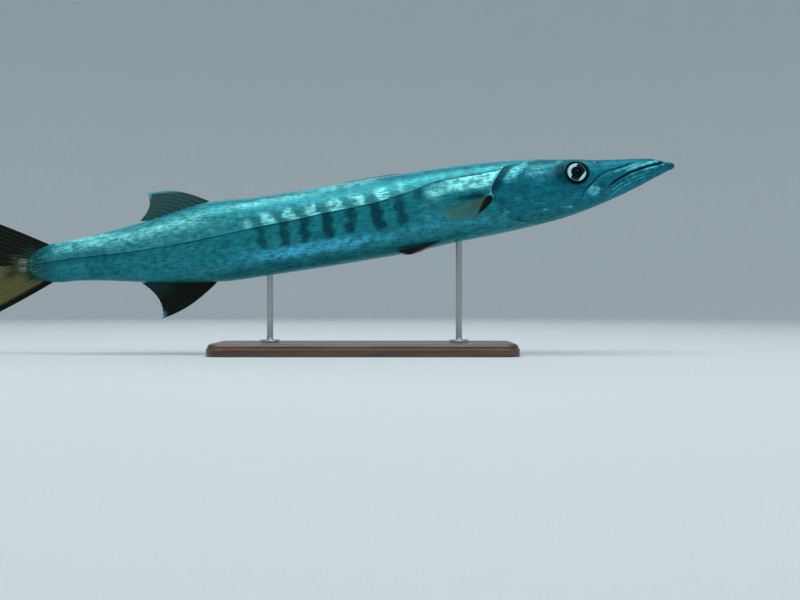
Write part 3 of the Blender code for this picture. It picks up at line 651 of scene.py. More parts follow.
def run_tree(obj, tree, **inputs):
    """Runs a geometry tree on the object and keeps its result as the object's plain mesh. The inputs
    are set by the identifier of each socket."""
    modifier = obj.modifiers.new(tree.name, "NODES")
    modifier.node_group = tree
    for item in tree.interface.items_tree:
        if item.item_type == "SOCKET" and item.in_out == "INPUT" and item.name in inputs:
            modifier[item.identifier] = inputs[item.name]
    bpy.context.view_layer.update()
    graph = bpy.context.evaluated_depsgraph_get()
    mesh = bpy.data.meshes.new_from_object(obj.evaluated_get(graph))
    if not mesh.polygons:
        raise RuntimeError(f"the tree {tree.name} made nothing of {obj.name}")
    obj.modifiers.clear()
    obj.data = mesh


def new_tree(name, **inputs):
    """A geometry tree with named inputs, each with its socket type and default."""
    tree = bpy.data.node_groups.new(name, "GeometryNodeTree")
    tree.interface.new_socket("Geometry", in_out="INPUT", socket_type="NodeSocketGeometry")
    tree.interface.new_socket("Geometry", in_out="OUTPUT", socket_type="NodeSocketGeometry")
    for label, (kind, default) in inputs.items():
        socket = tree.interface.new_socket(label, in_out="INPUT", socket_type=kind)
        if default is not None:
            socket.default_value = default
    return tree, tree.nodes.new("NodeGroupInput").outputs, tree.nodes.new("NodeGroupOutput").inputs


def colour_property(name, description, colour):
    return FloatVectorProperty(
        name=name, description=description, subtype="COLOR", size=3, min=0, max=1, default=linear(colour)
    )


def length_property(name, description, default):
    return FloatProperty(
        name=name, description=description, default=default * MM, min=0, unit="LENGTH", precision=5
    )


class BarracudaSkin(bpy.types.PropertyGroup):
    ring: IntProperty(name="Ring", description="Corners round half of the body", default=104, min=24)
    head_step: length_property("Head step", "Spacing of the skin's points along the head", 1.0)
    body_step: length_property("Body step", "Spacing of the skin's points along the trunk", 6.0)
    back: colour_property("Back", "Blue-green of the back", "#248490")
    upper: colour_property("Upper flank", "Half way up to the back", "#389aa2")
    over_line: colour_property("Over the line", "Just above the lateral line", "#36929b")
    lower: colour_property("Lower flank", "Below the lateral line", "#1e818c")
    # The belly is painted the dim teal of an underside in shade; a live barracuda's belly is white.
    belly: colour_property("Belly", "Underside", "#24808a")
    # Silver with a painted highlight above the lateral line, and with a painted reflection low on the flank.
    upper_silver_highlight: colour_property("Upper gleam", "Bright silver above the lateral line", "#8df0ee")
    lower_silver_reflection: colour_property("Lower gleam", "Blue silver low on the flank", "#44b0cf")
    # The bars' colour also paints the marks of painted shade and shadow.
    bar: colour_property("Bars", "Dark bars across the lateral line", "#063844")
    head_top: colour_property("Head top", "Top of the head", "#156774")
    cheek: colour_property("Cheek", "Cheek and gill cover", "#127082")
    throat: colour_property("Throat", "Underside of the head", "#1a6d78")
    snout: colour_property("Snout", "Both jaws", "#137083")
    pale: colour_property("Pale streaks", "Lips and bony edges of the head", "#58bcc6")
    # This colour draws the lateral line and the painted shade of the creases.
    dark: colour_property("Creases", "Mouth line, gill slit and lateral line", "#03121a")
    stem: colour_property("Stem end", "Where the tail stem runs out into the tail fin", "#1f504f")
    fray: colour_property("Stem streaks", "Pale streaks at the end of the tail stem", "#7fa894")


class BarracudaScales(bpy.types.PropertyGroup):
    rows: IntProperty(name="Rows", description="Rows of scales from belly to back", default=30, min=8)
    spacing: length_property("Spacing", "Between scales along the middle of the body", 7.4)
    jitter: FloatProperty(
        name="Jitter", description="How far single scales turn", default=math.radians(1.2), subtype="ANGLE"
    )
    tone: FloatProperty(name="Tone", description="How much lighter or darker a scale may be", default=0.15)
    seed: IntProperty(name="Seed", description="Seed of the random turns and tones", default=7)


class BarracudaFins(bpy.types.PropertyGroup):
    web: length_property("Web", "Thickness of the web at the root", 0.6)
    joint: length_property("Joint", "Length of one segment of a soft ray", 2.4)
    dorsal: colour_property("Dorsal web", "Web of the dorsal fins", "#174e53")
    black: colour_property("Black web", "Web of the anal fin and the upper tail lobe", "#030a07")
    olive: colour_property("Olive web", "Lower lobe of the tail fin", "#55562a")
    clear: colour_property("Clear web", "Pectoral fins", "#4c9a92")
    folded: colour_property("Folded web", "First dorsal fin, folded into the back", "#1f7b86")
    pelvic: colour_property("Pelvic web", "Pelvic fins", "#020a09")
    edge: colour_property("Dark edges", "Leading edges and the root of the pectoral fin", "#020605")
    ray: colour_property("Rays", "Bony rays where the skin over them is thin", "#9aa083")
    tip: colour_property("Pale tips", "Edges of the dark fins", "#6cc9d6")
    stem: colour_property("Root of the tail", "Skin over the rays at the root of the tail", "#1b3f3a")


class BarracudaEyes(bpy.types.PropertyGroup):
    pupil: length_property("Pupil", "Radius of the pupil", 7.6)
    iris: length_property("Iris", "Outer radius of the iris", 13.8)
    silver: colour_property("Iris silver", "Bright crescents of the iris", "#c2fffa")
    shade: colour_property("Iris shade", "Dark parts of the iris", "#04272d")
    black: colour_property("Pupil black", "Pupil and the rim round the iris", "#020e16")


class BarracudaStand(bpy.types.PropertyGroup):
    wood: colour_property("Wood", "Stained wood of the base", "#4a3326")
    grain: length_property("Grain", "Width of the wood's growth bands", 7.0)
    steel: colour_property("Steel", "Brushed steel of the rods", "#b9bbbc")


class BarracudaStage(bpy.types.PropertyGroup):
    floor: colour_property("Floor", "Floor and the wall it curves up into", "#ccd5d8")
    key: FloatProperty(name="Key light", description="Large soft light overhead", default=42, unit="POWER")
    fill: FloatProperty(name="Fill light", description="Soft light by the camera", default=9, unit="POWER")
    air: FloatProperty(name="Air", description="Brightness of the light from all round", default=0.72)


GROUPS = {
    "barracuda_skin": BarracudaSkin,
    "barracuda_scales": BarracudaScales,
    "barracuda_fins": BarracudaFins,
    "barracuda_eyes": BarracudaEyes,
    "barracuda_stand": BarracudaStand,
    "barracuda_stage": BarracudaStage,
}


def fish_place(tree):
    """Places in the fish's frame in millimetres: x forward, y to the left and z up."""
    place = node(tree, "ShaderNodeTexCoord", output="Object")
    tip = tuple(x * MM for x in SNOUT_TIP)
    turn = (0, -NOSE_UP, 0)
    frame_of_fish = {"Vector": place, "Location": tip, "Rotation": turn, "Scale": (MM,) * 3}
    return node(tree, "ShaderNodeMapping", frame_of_fish, vector_type="TEXTURE")


def fish_colours(tree, colours, place):
    """The fish's markings, painted highlights and painted shade among them, as a colour, and the fine streaks
    that break them up.
    """
    # Blotches 9 mm wide, and streaks 2 mm wide and 15 mm long that run with the rows of scales.
    blotches = node(
        tree, "ShaderNodeTexNoise", {"Vector": place, "Scale": 1 / 9, "Detail": 5.0, "Roughness": 0.62}
    )
    drawn_out = node(tree, "ShaderNodeVectorMath", {0: place, 1: (0.13, 1.0, 1.0)}, **TIMES)
    streaks = node(tree, "ShaderNodeTexNoise", {"Vector": drawn_out, "Scale": 1 / 2, "Detail": 3.0})
    broken = node(tree, "ShaderNodeMath", {0: blotches, 1: streaks}, operation="ADD")
    height = node(tree, "ShaderNodeSeparateXYZ", {0: place}, output=2)

    flank = node(tree, "ShaderNodeAttribute", output="Fac", attribute_name="flank")
    rise = node(tree, "ShaderNodeMapRange", {0: flank, 1: -1.0, 2: 1.0})
    # From the belly, painted the dim teal of an underside in shade, up to the back.
    base_stops = (
        (0.0, colours.belly), (0.13, colours.belly), (0.24, colours.lower), (0.4985, colours.lower),
        (0.5015, colours.over_line), (0.7, colours.upper), (0.8, colours.back), (1.0, colours.back),
    )
    base = node(tree, "ShaderNodeValToRGB", {"Fac": rise}, stops=base_stops)
    # The colour of the silver with its painted highlights and reflections: blue low on the flank, pale higher
    # up.
    silver_highlight_stops = ((0.28, colours.lower_silver_reflection), (0.36, colours.upper_silver_highlight))
    silver_highlight_colour = node(tree, "ShaderNodeValToRGB", {"Fac": rise}, stops=silver_highlight_stops)
    head_stops = (
        (0.0, colours.throat), (0.12, colours.throat), (0.30, colours.cheek), (0.62, colours.cheek),
        (0.84, colours.head_top), (1.0, colours.head_top),
    )
    head_rise = node(tree, "ShaderNodeMapRange", {0: height, 1: -55.0, 2: 40.0})
    head = node(tree, "ShaderNodeValToRGB", {"Fac": head_rise}, stops=head_stops)
    head = painted(tree, head, ((colours.snout, 0.85, ("along", 128.0, 84.0)),))

    mottled = node(tree, "ShaderNodeMapRange", {0: broken, 1: 0.82, 2: 1.03, 3: 0.42, 4: 1.0})
    patchy = node(tree, "ShaderNodeMapRange", {0: broken, 1: 0.86, 2: 1.06, 3: 0.25, 4: 1.1})
    bars = node(tree, "ShaderNodeAttribute", output="Fac", attribute_name="bar")
    bars = node(tree, "ShaderNodeMath", {0: broken, 1: 1.2, 2: bars}, operation="MULTIPLY_ADD")
    bars = node(tree, "ShaderNodeMapRange", {0: bars, 1: 1.38, 2: 2.3, 4: 0.95}, **SOFT)
    # Over the base: the silver with its painted highlights and reflections, the bars, the head, the pale
    # streaks, and painted shade in the bars' colour.
    colour = painted(
        tree, base,
        (
            (silver_highlight_colour, mottled, ("gleam", 0.0, 1.0)),
            (colours.bar, bars),
            (head, 1.0, ("head", 0.3, 0.7)),
            (colours.pale, patchy, ("pale", 0.0, 0.9)),
            (colours.bar, 0.92, ("shade", 0.0, 1.0)),
        ),
    )
    lit = node(tree, "ShaderNodeMapRange", {0: broken, 1: 0.78, 2: 1.22, 3: 0.66, 4: 1.36})
    colour = node(tree, "ShaderNodeHueSaturation", {"Color": colour, "Value": lit})
    frayed = node(tree, "ShaderNodeMapRange", {0: streaks, 1: 0.44, 2: 0.54})
    combed = node(tree, "ShaderNodeMapRange", {0: streaks, 1: 0.44, 2: 0.34, 4: 0.6})
    # Then the dark lateral line, the painted shade of the creases, and the streaked end of the tail stem.
    colour = painted(
        tree, colour,
        (
            (colours.dark, 0.6, ("line_gap", -2.2, -1.3), ("line_gap", 0.5, -0.3), ("head", 0.3, 0.0)),
            (colours.dark, 1.0, ("crease_shade", 0.1, 0.95)),
            (colours.stem, frayed, ("along", 900.0, 928.0)),
            (colours.stem, 1.0, ("along", 918.0, 945.0)),
            (colours.fray, combed, ("along", 925.0, 945.0)),
        ),
    )
    return colour, broken


def fish_surface(tree, shader, colour, broken, relief, relief_depth):
    """Sets the finish that skin and scales share: wet varnish over guanine silver, which gives back
    more of blue and green than of red."""
    rough = node(tree, "ShaderNodeMapRange", {0: broken, 1: 0.75, 2: 1.25, 3: 0.30, 4: 0.44})
    normal = node(tree, "ShaderNodeBump", {"Height": relief, "Strength": 0.3, "Distance": relief_depth * MM})
    connect(
        tree, shader,
        {
            "Base Color": colour, "Metallic": 0.32, "Roughness": rough, "Normal": normal,
            "Specular IOR Level": 0.15, "Specular Tint": (0.4, 0.88, 1.0), "Coat Weight": 0.05,
            "Coat Roughness": 0.2,
        },
    )


def skin_material(colours):
    """Fish skin cast in resin, airbrushed and varnished."""
    # Pores 1.1 mm apart break up the gloss of the bare head.
    material, tree, shader = new_material("Varnished fish skin")
    place = fish_place(tree)
    pores = node(tree, "ShaderNodeTexVoronoi", {"Vector": place, "Scale": 1 / 1.1})
    fish_surface(tree, shader, *fish_colours(tree, colours, place), pores, 0.12)
    return material


def scale_material(colours, scales):
    """Cycloid scales: thin horny plates over silver, each a little lighter or darker."""
    # The free edge of each scale is a little lighter, and nine growth rings give it a silky gloss.
    material, tree, shader = new_material("Silver fish scales")
    place = fish_place(tree)
    colour, broken = fish_colours(tree, colours, place)
    tone = node(tree, "ShaderNodeAttribute", output="Fac", attribute_name="scale_tone")
    rim = node(tree, "ShaderNodeAttribute", output="Fac", attribute_name="scale_rim")
    lit = node(tree, "ShaderNodeMapRange", {0: tone, 3: 1 - scales.tone, 4: 1 + scales.tone})
    edge = node(tree, "ShaderNodeMapRange", {0: rim, 3: 1.0, 4: 1.06})
    lit = node(tree, "ShaderNodeMath", {0: lit, 1: edge}, **TIMES)
    colour = node(tree, "ShaderNodeHueSaturation", {"Color": colour, "Value": lit})
    rings = node(tree, "ShaderNodeMath", {0: rim, 1: 9 * 2 * math.pi}, **TIMES)
    rings = node(tree, "ShaderNodeMath", {0: rings}, operation="SINE")
    fish_surface(tree, shader, colour, broken, rings, 0.06)
    return material


def unwrap_place(u, rise, side):
    """Where a point of the skin lies on the flat unwrap of the skin: along, and round from the belly."""
    return np.stack([u / (TAIL_END + TAIL_CAP), 0.5 + side * (1 - rise) / 2], axis=-1)


class BARRACUDA_OT_skin(bpy.types.Operator):
    """Builds one skin over head, jaw, trunk and tail stem"""

    bl_idname = "barracuda.skin"
    bl_label = "Skin"

    def execute(self, context):
        skin = context.scene.barracuda_skin
        head_end, stem_end = 276.0, 925.0
        head = np.append(0.05, np.arange(0.25, head_end, skin.head_step / MM))
        body = np.linspace(head_end, stem_end, round((stem_end - head_end) / (skin.body_step / MM)))
        u = np.concatenate([head, body, np.linspace(stem_end + 1, TAIL_END, 22)])
        rise = np.linspace(0, 1, skin.ring + 1)
        left = skin_points(u, np.broadcast_to(rise, (len(u), len(rise))))
        left[:, [0, -1], 1] = 0.0
        right = left[:, -2:0:-1] * (1, -1, 1)
        rings = np.concatenate([left, right], axis=1)
        columns = rings.shape[1]
        middle = section(np.array([0.0, TAIL_END]))[0]
        poles = [(SKIN_INSET, 0, middle[0]), (TAIL_END + TAIL_CAP, 0, middle[1])]
        points = np.vstack([rings.reshape(-1, 3), poles])
        faces = tube_faces(len(u), columns)
        piece = piece_from("skin", world(points), faces, markings(points), [skin_material(skin)])
        self.unwrap(piece.data, u, columns)
        hand_over(piece, "silver_skin", "head", "lower_jaw", "trunk_front", "trunk_rear", "tail_stem")
        return {"FINISHED"}

    def unwrap(self, mesh, u, columns):
        """Lays the skin out flat, cut along the belly: along the fish, and once round it."""
        corners = np.zeros(len(mesh.loops), int)
        mesh.loops.foreach_get("vertex_index", corners)
        row, column = corners // columns, corners % columns
        stations = np.append(u, [0.0, TAIL_END + TAIL_CAP])
        pole = row == len(u)
        station = np.where(pole, len(u) + column, row)
        place = np.stack([stations[station] / stations[-1], 1 - column / columns], axis=-1)
        starts = np.zeros(len(mesh.polygons), int)
        mesh.polygons.foreach_get("loop_start", starts)
        for start, end in zip(starts, np.append(starts[1:], len(corners))):
            around = place[start:end, 1]
            of_pole = pole[start:end]
            rest = around[~of_pole]
            if rest.max() - rest.min() > 0.5:
                around[around > 0.5] -= 1.0
            around[of_pole] = around[~of_pole].mean()
        mesh.uv_layers.new(name="OFBake").data.foreach_set("uv", place.ravel())


def scale_pattern(count=14):
    """One scale, with its root at the origin and its free edge at +x. Along and across it, 1 is the
    spacing of the scales. Up it is in millimetres."""
    thickness, root_x, free_length, hidden_length, half_width = 0.15, 0.1, 1.02, 0.6, 0.6
    points, rim = [], []
    for k in range(count):
        turn = 2 * math.pi * (k + 0.5) / count
        x = root_x + (free_length if math.cos(turn) > 0 else hidden_length) * math.cos(turn)
        y = half_width * math.sin(turn)
        points.append((x, y, scale_height(x, y)))
        rim.append(max(math.cos(turn), 0.0))
    points += [(x, y, z - thickness) for x, y, z in points]
    points.append((root_x, 0.0, scale_height(root_x, 0.0)))
    centre = 2 * count
    faces = [tuple(count + k for k in reversed(range(count)))]
    for k in range(count):
        following = (k + 1) % count
        faces.append((k, following, centre))
        faces.append((count + k, count + following, following, k))
    return pattern_from("scale pattern", points, faces, rim * 2 + [0.0])


def scale_height(x, y):
    """How high the upper face of a scale is: it rises to its free edge and drops to its sides."""
    return 0.03 + 0.22 * x - 0.3 * y * y


def tube_pattern(count=8):
    """One tube of the lateral line, which lies along a scale: a low ridge, open to no side."""
    points = []
    for x, radius in ((-0.3, 0.35), (0.0, 0.9), (0.45, 1.0), (0.75, 0.5)):
        for k in range(count):
            turn = 2 * math.pi * k / count
            points.append((x, 0.09 * radius * math.cos(turn), 0.12 + 0.2 * radius * math.sin(turn)))
    faces = grid_faces(4, count, ring=True, flip=True)
    faces += [tuple(range(count)), tuple(range(4 * count - 1, 3 * count - 1, -1))]
    return pattern_from("tube pattern", points, faces, [1.0] * len(points))


def pattern_from(name, points, faces, rim):
    """A small shape that a tree repeats, with its rim marked and its own flat patch."""
    pattern = piece_from(name, points, faces)
    face_outwards(pattern.data)
    pattern.data.set_sharp_from_angle(angle=math.radians(40))
    write_marks(pattern.data, {"scale_rim": rim, "patch": [(x / 2, y, 0) for x, y, _ in points]})
    return pattern


def scale_tree():
    """Sets a scale on each point, turned by the point's own directions and a little at random."""
    tree, given, made = new_tree(
        "Scales on the skin",
        Pattern=("NodeSocketObject", None),
        Jitter=("NodeSocketFloat", 0.04),
        Seed=("NodeSocketInt", 7),
        Patch=("NodeSocketFloat", 0.003),
        Material=("NodeSocketMaterial", None),
    )
    field = {
        name: node(tree, "GeometryNodeInputNamedAttribute", {"Name": name}, data_type="FLOAT_VECTOR")
        for name in ("out", "lie", "spread", "patch", "root_place")
    }
    pattern = node(tree, "GeometryNodeObjectInfo", {"Object": given["Pattern"]}, output="Geometry")
    facing = node(
        tree, "FunctionNodeAxesToRotation", {0: field["out"], 1: field["lie"]},
        primary_axis="Z", secondary_axis="X",
    )
    most = node(tree, "ShaderNodeCombineXYZ", {0: given["Jitter"], 2: given["Jitter"]})
    least = node(tree, "ShaderNodeVectorMath", {0: most, "Scale": -1.0}, operation="SCALE")
    turns = node(
        tree, "FunctionNodeRandomValue", {0: least, 1: most, 8: given["Seed"]}, data_type="FLOAT_VECTOR"
    )
    turns = node(tree, "FunctionNodeEulerToRotation", {0: turns})
    facing = node(tree, "FunctionNodeRotateRotation", {0: facing, 1: turns}, rotation_space="LOCAL")
    placed = node(
        tree, "GeometryNodeInstanceOnPoints",
        {"Points": given["Geometry"], "Instance": pattern, "Rotation": facing, "Scale": field["spread"]},
    )
    tone = node(tree, "FunctionNodeRandomValue", {2: 0.0, 3: 1.0, 8: given["Seed"]}, output=1)
    toned = node(
        tree, "GeometryNodeStoreNamedAttribute", {"Geometry": placed, "Name": "scale_tone", "Value": tone},
        data_type="FLOAT", domain="INSTANCE",
    )
    local = node(
        tree, "ShaderNodeVectorMath", {0: field["patch"], "Scale": given["Patch"]}, operation="SCALE"
    )
    flat = node(tree, "ShaderNodeVectorMath", {0: local, 1: field["root_place"]}, operation="ADD")
    real = node(tree, "GeometryNodeRealizeInstances", {0: toned})
    mapped = node(
        tree, "GeometryNodeStoreNamedAttribute", {"Geometry": real, "Name": "OFBake", "Value": flat},
        data_type="FLOAT2", domain="CORNER",
    )
    whole = node(tree, "GeometryNodeRealizeInstances", {0: mapped})
    dressed = node(tree, "GeometryNodeSetMaterial", {"Geometry": whole, "Material": given["Material"]})
    tree.links.new(dressed, made[0])
    return tree


def scale_columns(spacing):
    """Where along the fish each column of scales starts, and the spacing there."""
    first, last = 188.0, 943.0
    shares = ((185, 0.62), (300, 1.0), (600, 1.02), (850, 0.82), (950, 0.5))
    places, steps = [first], [spacing * float(along(shares, first))]
    while places[-1] + steps[-1] < last:
        places.append(places[-1] + steps[-1])
        steps.append(spacing * float(along(shares, places[-1])))
    return np.array(places), np.array(steps)


def scale_points(scales, u, rise, step, keep, side):
    """The kept roots of one side, with their directions and sizes. Each is moved a little along the
    fish, so that the columns don't line up."""
    draw = np.random.default_rng(scales.seed)
    points = skin_points(u, rise)
    lie, out = body_frame(u, rise)
    points = points + lie * (draw.uniform(-0.25, 0.25, rise.shape) * step[:, None])[..., None]
    width = np.broadcast_to((half_girth(u) / scales.rows)[:, None], rise.shape)
    length = np.broadcast_to(step[:, None], rise.shape)
    keep = keep(points)
    mirror = np.array([1, side, 1])
    size = np.stack([length, width, length / (scales.spacing / MM)], axis=-1)
    flat = unwrap_place(np.broadcast_to(u[:, None], rise.shape)[keep], rise[keep], side)
    marks = {
        "out": turned(out[keep] * mirror),
        "lie": turned(lie[keep] * mirror),
        "spread": size[keep] * MM,
        "root_place": np.pad(flat, ((0, 0), (0, 1))),
    }
    return world(points[keep] * mirror), marks


def bare_of_head(points):
    """True where scales grow: behind the gill cover, and on the nape."""
    u, h = points[..., 0], points[..., 2]
    behind_gill = near_line(smooth_line(GILL_EDGE, 40), u, h)
    margin, nape = 3.2, ((185, 31.5), (222, 34), (250, 35))
    return (behind_gill > margin) | (h > along(nape, u))


def line_rise(u):
    """The share of the way from belly to back at which the lateral line runs."""
    rise = np.broadcast_to(np.linspace(0, 1, 400), (len(u), 400))
    heights = body_points(u, rise)[..., 2]
    wanted = along(LATERAL_LINE, u) + 0.8  # the tubes lie just above the dark line
    return np.array([[np.interp(w, hs, rise[0])] for w, hs in zip(wanted, heights)])


class BARRACUDA_OT_scales(bpy.types.Operator):
    """Sets overlapping scales over the skin, and the tubes of the lateral line"""

    bl_idname = "barracuda.scales"
    bl_label = "Scales"

    def execute(self, context):
        scales = context.scene.barracuda_scales
        tree, material = scale_tree(), scale_material(context.scene.barracuda_skin, scales)
        u, step = scale_columns(scales.spacing / MM)
        offset = 0.25 + 0.5 * (np.arange(len(u)) % 2)  # every other column is half a row higher
        rise = (np.arange(scales.rows)[None, :] + offset[:, None]) / scales.rows
        line = u > LINE_START
        kinds = (
            ("scales", scale_pattern(), (u, rise, step, bare_of_head)),
            ("lateral_line", tube_pattern(), (u[line], line_rise(u[line]), step[line], bare_of_head)),
        )
        for kind, pattern, roots in kinds:
            for name, side in SIDES:
                points, marks = scale_points(scales, *roots, side)
                piece = piece_from(f"{kind}_{name}", points, [], marks)
                run_tree(
                    piece, tree, Pattern=pattern, Jitter=scales.jitter, Seed=scales.seed, Material=material
                )
                write_marks(piece.data, markings(fish_frame(points_of(piece.data))))
                hand_over(piece, "silver_skin")
            bpy.data.objects.remove(pattern)
        return {"FINISHED"}


def crescents(radius, turn, edge):
    """How bright the iris is: a crescent at the rear, and one low in front whose inner edge is straight.
    turn runs from the rear upwards, and edge is the outer radius of both."""
    rear_way, rear_width = math.radians(34), 4.6
    front_way, front_inner = math.radians(226), 8.8
    rear = rear_width * smooth(np.cos(turn - rear_way), 0.25, 0.6)
    front = edge - front_inner / np.maximum(np.cos(turn - front_way), 0.1)
    wide = np.maximum(rear, front)
    return smooth(radius - edge + wide, -0.6, 0.6) * smooth(wide, 0.1, 1.2)


def turned_shape(name, profile, segments, centre, look, side, edge):
    """A shape turned about the eye's axis. profile has (radius, height) from the axis out and back,
    and edge is the outer radius of the iris's crescents."""
    look = look * (1, side, 1)
    centre = np.array(centre) * (1, side, 1)
    rear = unit(np.array([1.0, 0, 0]) - look[0] * look)
    up = np.cross(look, rear) * -side
    turn = np.tile(2 * np.pi * np.arange(segments) / segments, len(profile))
    radius, height = (np.repeat(values, segments)[:, None] for values in zip(*profile))
    way = rear * np.cos(turn)[:, None] + up * np.sin(turn)[:, None]
    marks = {"eye_radius": radius.ravel(), "crescent": crescents(radius.ravel(), turn, edge)}
    faces = grid_faces(len(profile), segments, ring=True)
    made = piece_from(name, world(centre + way * radius + look * height), faces, marks)
    face_outwards(made.data, merge=1e-6)
    made.data.shade_smooth()
    made.data.set_sharp_from_angle(angle=math.radians(50))
    return made


def iris_material(eyes):
    """The painted iris of a modelmaker's eye: silver foil under varnish."""
    # Fibres 1.5 mm long break up the two bright crescents, which stand out from the dark paint.
    material, tree, shader = new_material("Painted silver iris")
    pupil, iris = eyes.pupil / MM, eyes.iris / MM
    fibres = node(tree, "ShaderNodeTexNoise", {"Vector": fish_place(tree), "Scale": 1 / 1.5, "Detail": 4.0})
    bright = node(tree, "ShaderNodeMapRange", {0: fibres, 1: 0.3, 2: 0.6, 3: 0.8, 4: 1.0})
    colour = painted(
        tree, eyes.shade,
        (
            (eyes.silver, bright, ("crescent", 0.1, 0.8)),
            (eyes.silver, 0.28, ("eye_radius", iris - 1.9, iris - 1.3)),
            (eyes.black, 1.0, ("eye_radius", iris - 0.9, iris - 0.4)),
            (eyes.black, 1.0, ("eye_radius", pupil + 0.4, pupil)),
        ),
    )
    connect(tree, shader, {"Base Color": colour, "Roughness": 0.4, "Specular IOR Level": 0.02})
    return material


def cornea_material():
    """A clear, polished acrylic dome, as on a modelmaker's eye."""
    # Its gloss gives the wet glint of a live eye. It bends light little, as an eye under water does,
    # so the pupil stays dark.
    material, tree, shader = new_material("Clear polished acrylic cornea")
    finish = {"Base Color": (1, 1, 1), "Roughness": 0.02, "IOR": 1.17, "Transmission Weight": 1.0}
    connect(tree, shader, finish | {"Specular IOR Level": 0.2, "Specular Tint": (0.35, 0.8, 1.0)})
    return material


class BARRACUDA_OT_eyes(bpy.types.Operator):
    """Builds both eyes: an eyeball with iris and pupil, and a clear cornea over it"""

    bl_idname = "barracuda.eyes"
    bl_label = "Eyes"

    def execute(self, context):
        eyes = context.scene.barracuda_eyes
        pupil, iris = eyes.pupil / MM, eyes.iris / MM
        surface = np.array([EYE_PLACE[0], flank_y(*EYE_PLACE), EYE_PLACE[1]])
        centre = surface - EYE_LOOK * EYE_SUNK
        ball, thick = EYE_RADIUS - 0.5, EYE_THICKNESS - 0.5
        floor, lip = 3.0, iris + 0.1  # the iris lies in a round recess of the eyeball

        def dome(radius, size, height):
            return height * math.sqrt(1 - (radius / size) ** 2)

        profile = [(0.0, floor - 0.7), (pupil * 0.6, floor - 0.65), (pupil - 0.1, floor - 0.4)]
        for t in np.linspace(0, 1, 25):
            profile.append((pupil + (iris - pupil) * t, floor + 0.4 * math.sin(math.pi * t)))
        profile += [(r, dome(r, ball, thick)) for r in np.linspace(lip, ball, 6)]
        profile += [(r, -dome(r, ball, thick)) for r in (14.5, 12.0, 8.0, 4.0, 0.0)]
        rim = iris + 0.2
        clear = [(r, dome(r, EYE_RADIUS, EYE_THICKNESS)) for r in rim * np.sin(np.linspace(0, np.pi / 2, 16))]
        clear += [(iris - 0.3, floor - 1.2), (0.0, floor - 1.2)]
        iris_look, cornea_look = iris_material(eyes), cornea_material()
        for name, side in SIDES:
            eye = turned_shape(f"eyeball_{name}", profile, 192, centre, EYE_LOOK, side, iris - 1.0)
            eye.data.materials.append(iris_look)
            hand_over(eye, "eye", f"eye_{name}")
            cornea = turned_shape(f"cornea_{name}", clear, 64, centre, EYE_LOOK, side, iris - 1.0)
            cornea.data.materials.append(cornea_look)
            hand_over(cornea, "eye")
        return {"FINISHED"}


RAY_FORKS = ((0.42, 0.25), (0.72, 0.125))  # where a ray forks, and how far its branches part
RAY_TAPER = (1.15, 0.62, 0.48, 0.40, 0.36)  # thickness: plain, end of stem, both ends of branch, twig


def ray_lines(count, steps, sizes, plain):
    """The rays of a fin as lines of (across, out, radius). Across is 0 at the first ray and 1 at the
    last, and out is 0 at the root and 1 at the margin. The first few are plain, and the others fork
    twice."""
    spacing = 1 / (count - 1)
    thick, thin = sizes
    plain_ray, stem_end, branch, branch_end, twig = (thick * share for share in RAY_TAPER)
    (first, part), (second, small) = RAY_FORKS
    lines = []

    def add(begin, end, radii, shifts=(0, 0)):
        out = np.linspace(begin, end, max(round(steps * (end - begin)), 4))
        ease = smooth(out, first, 2 * first) * shifts[0] + smooth(out, second, 1) * shifts[1]
        lines.append((middle + ease * spacing, out, np.linspace(*radii, len(out))))

    for i in range(count):
        middle = i * spacing
        if i < plain:
            add(0.0, 1.0, (plain_ray, thin))
            continue
        add(0.0, first + 0.02, (thick, stem_end))
        inward = -1 if i == count - 1 else 0
        for a in (-1, 1) if not inward else (0, -2):
            add(first, second + 0.02, (branch, branch_end), (part * a, 0))
            for b in (-1, 1) if not inward else (-1,):
                add(second, 1.0, (twig, thin), (part * a, small * b))
    return lines


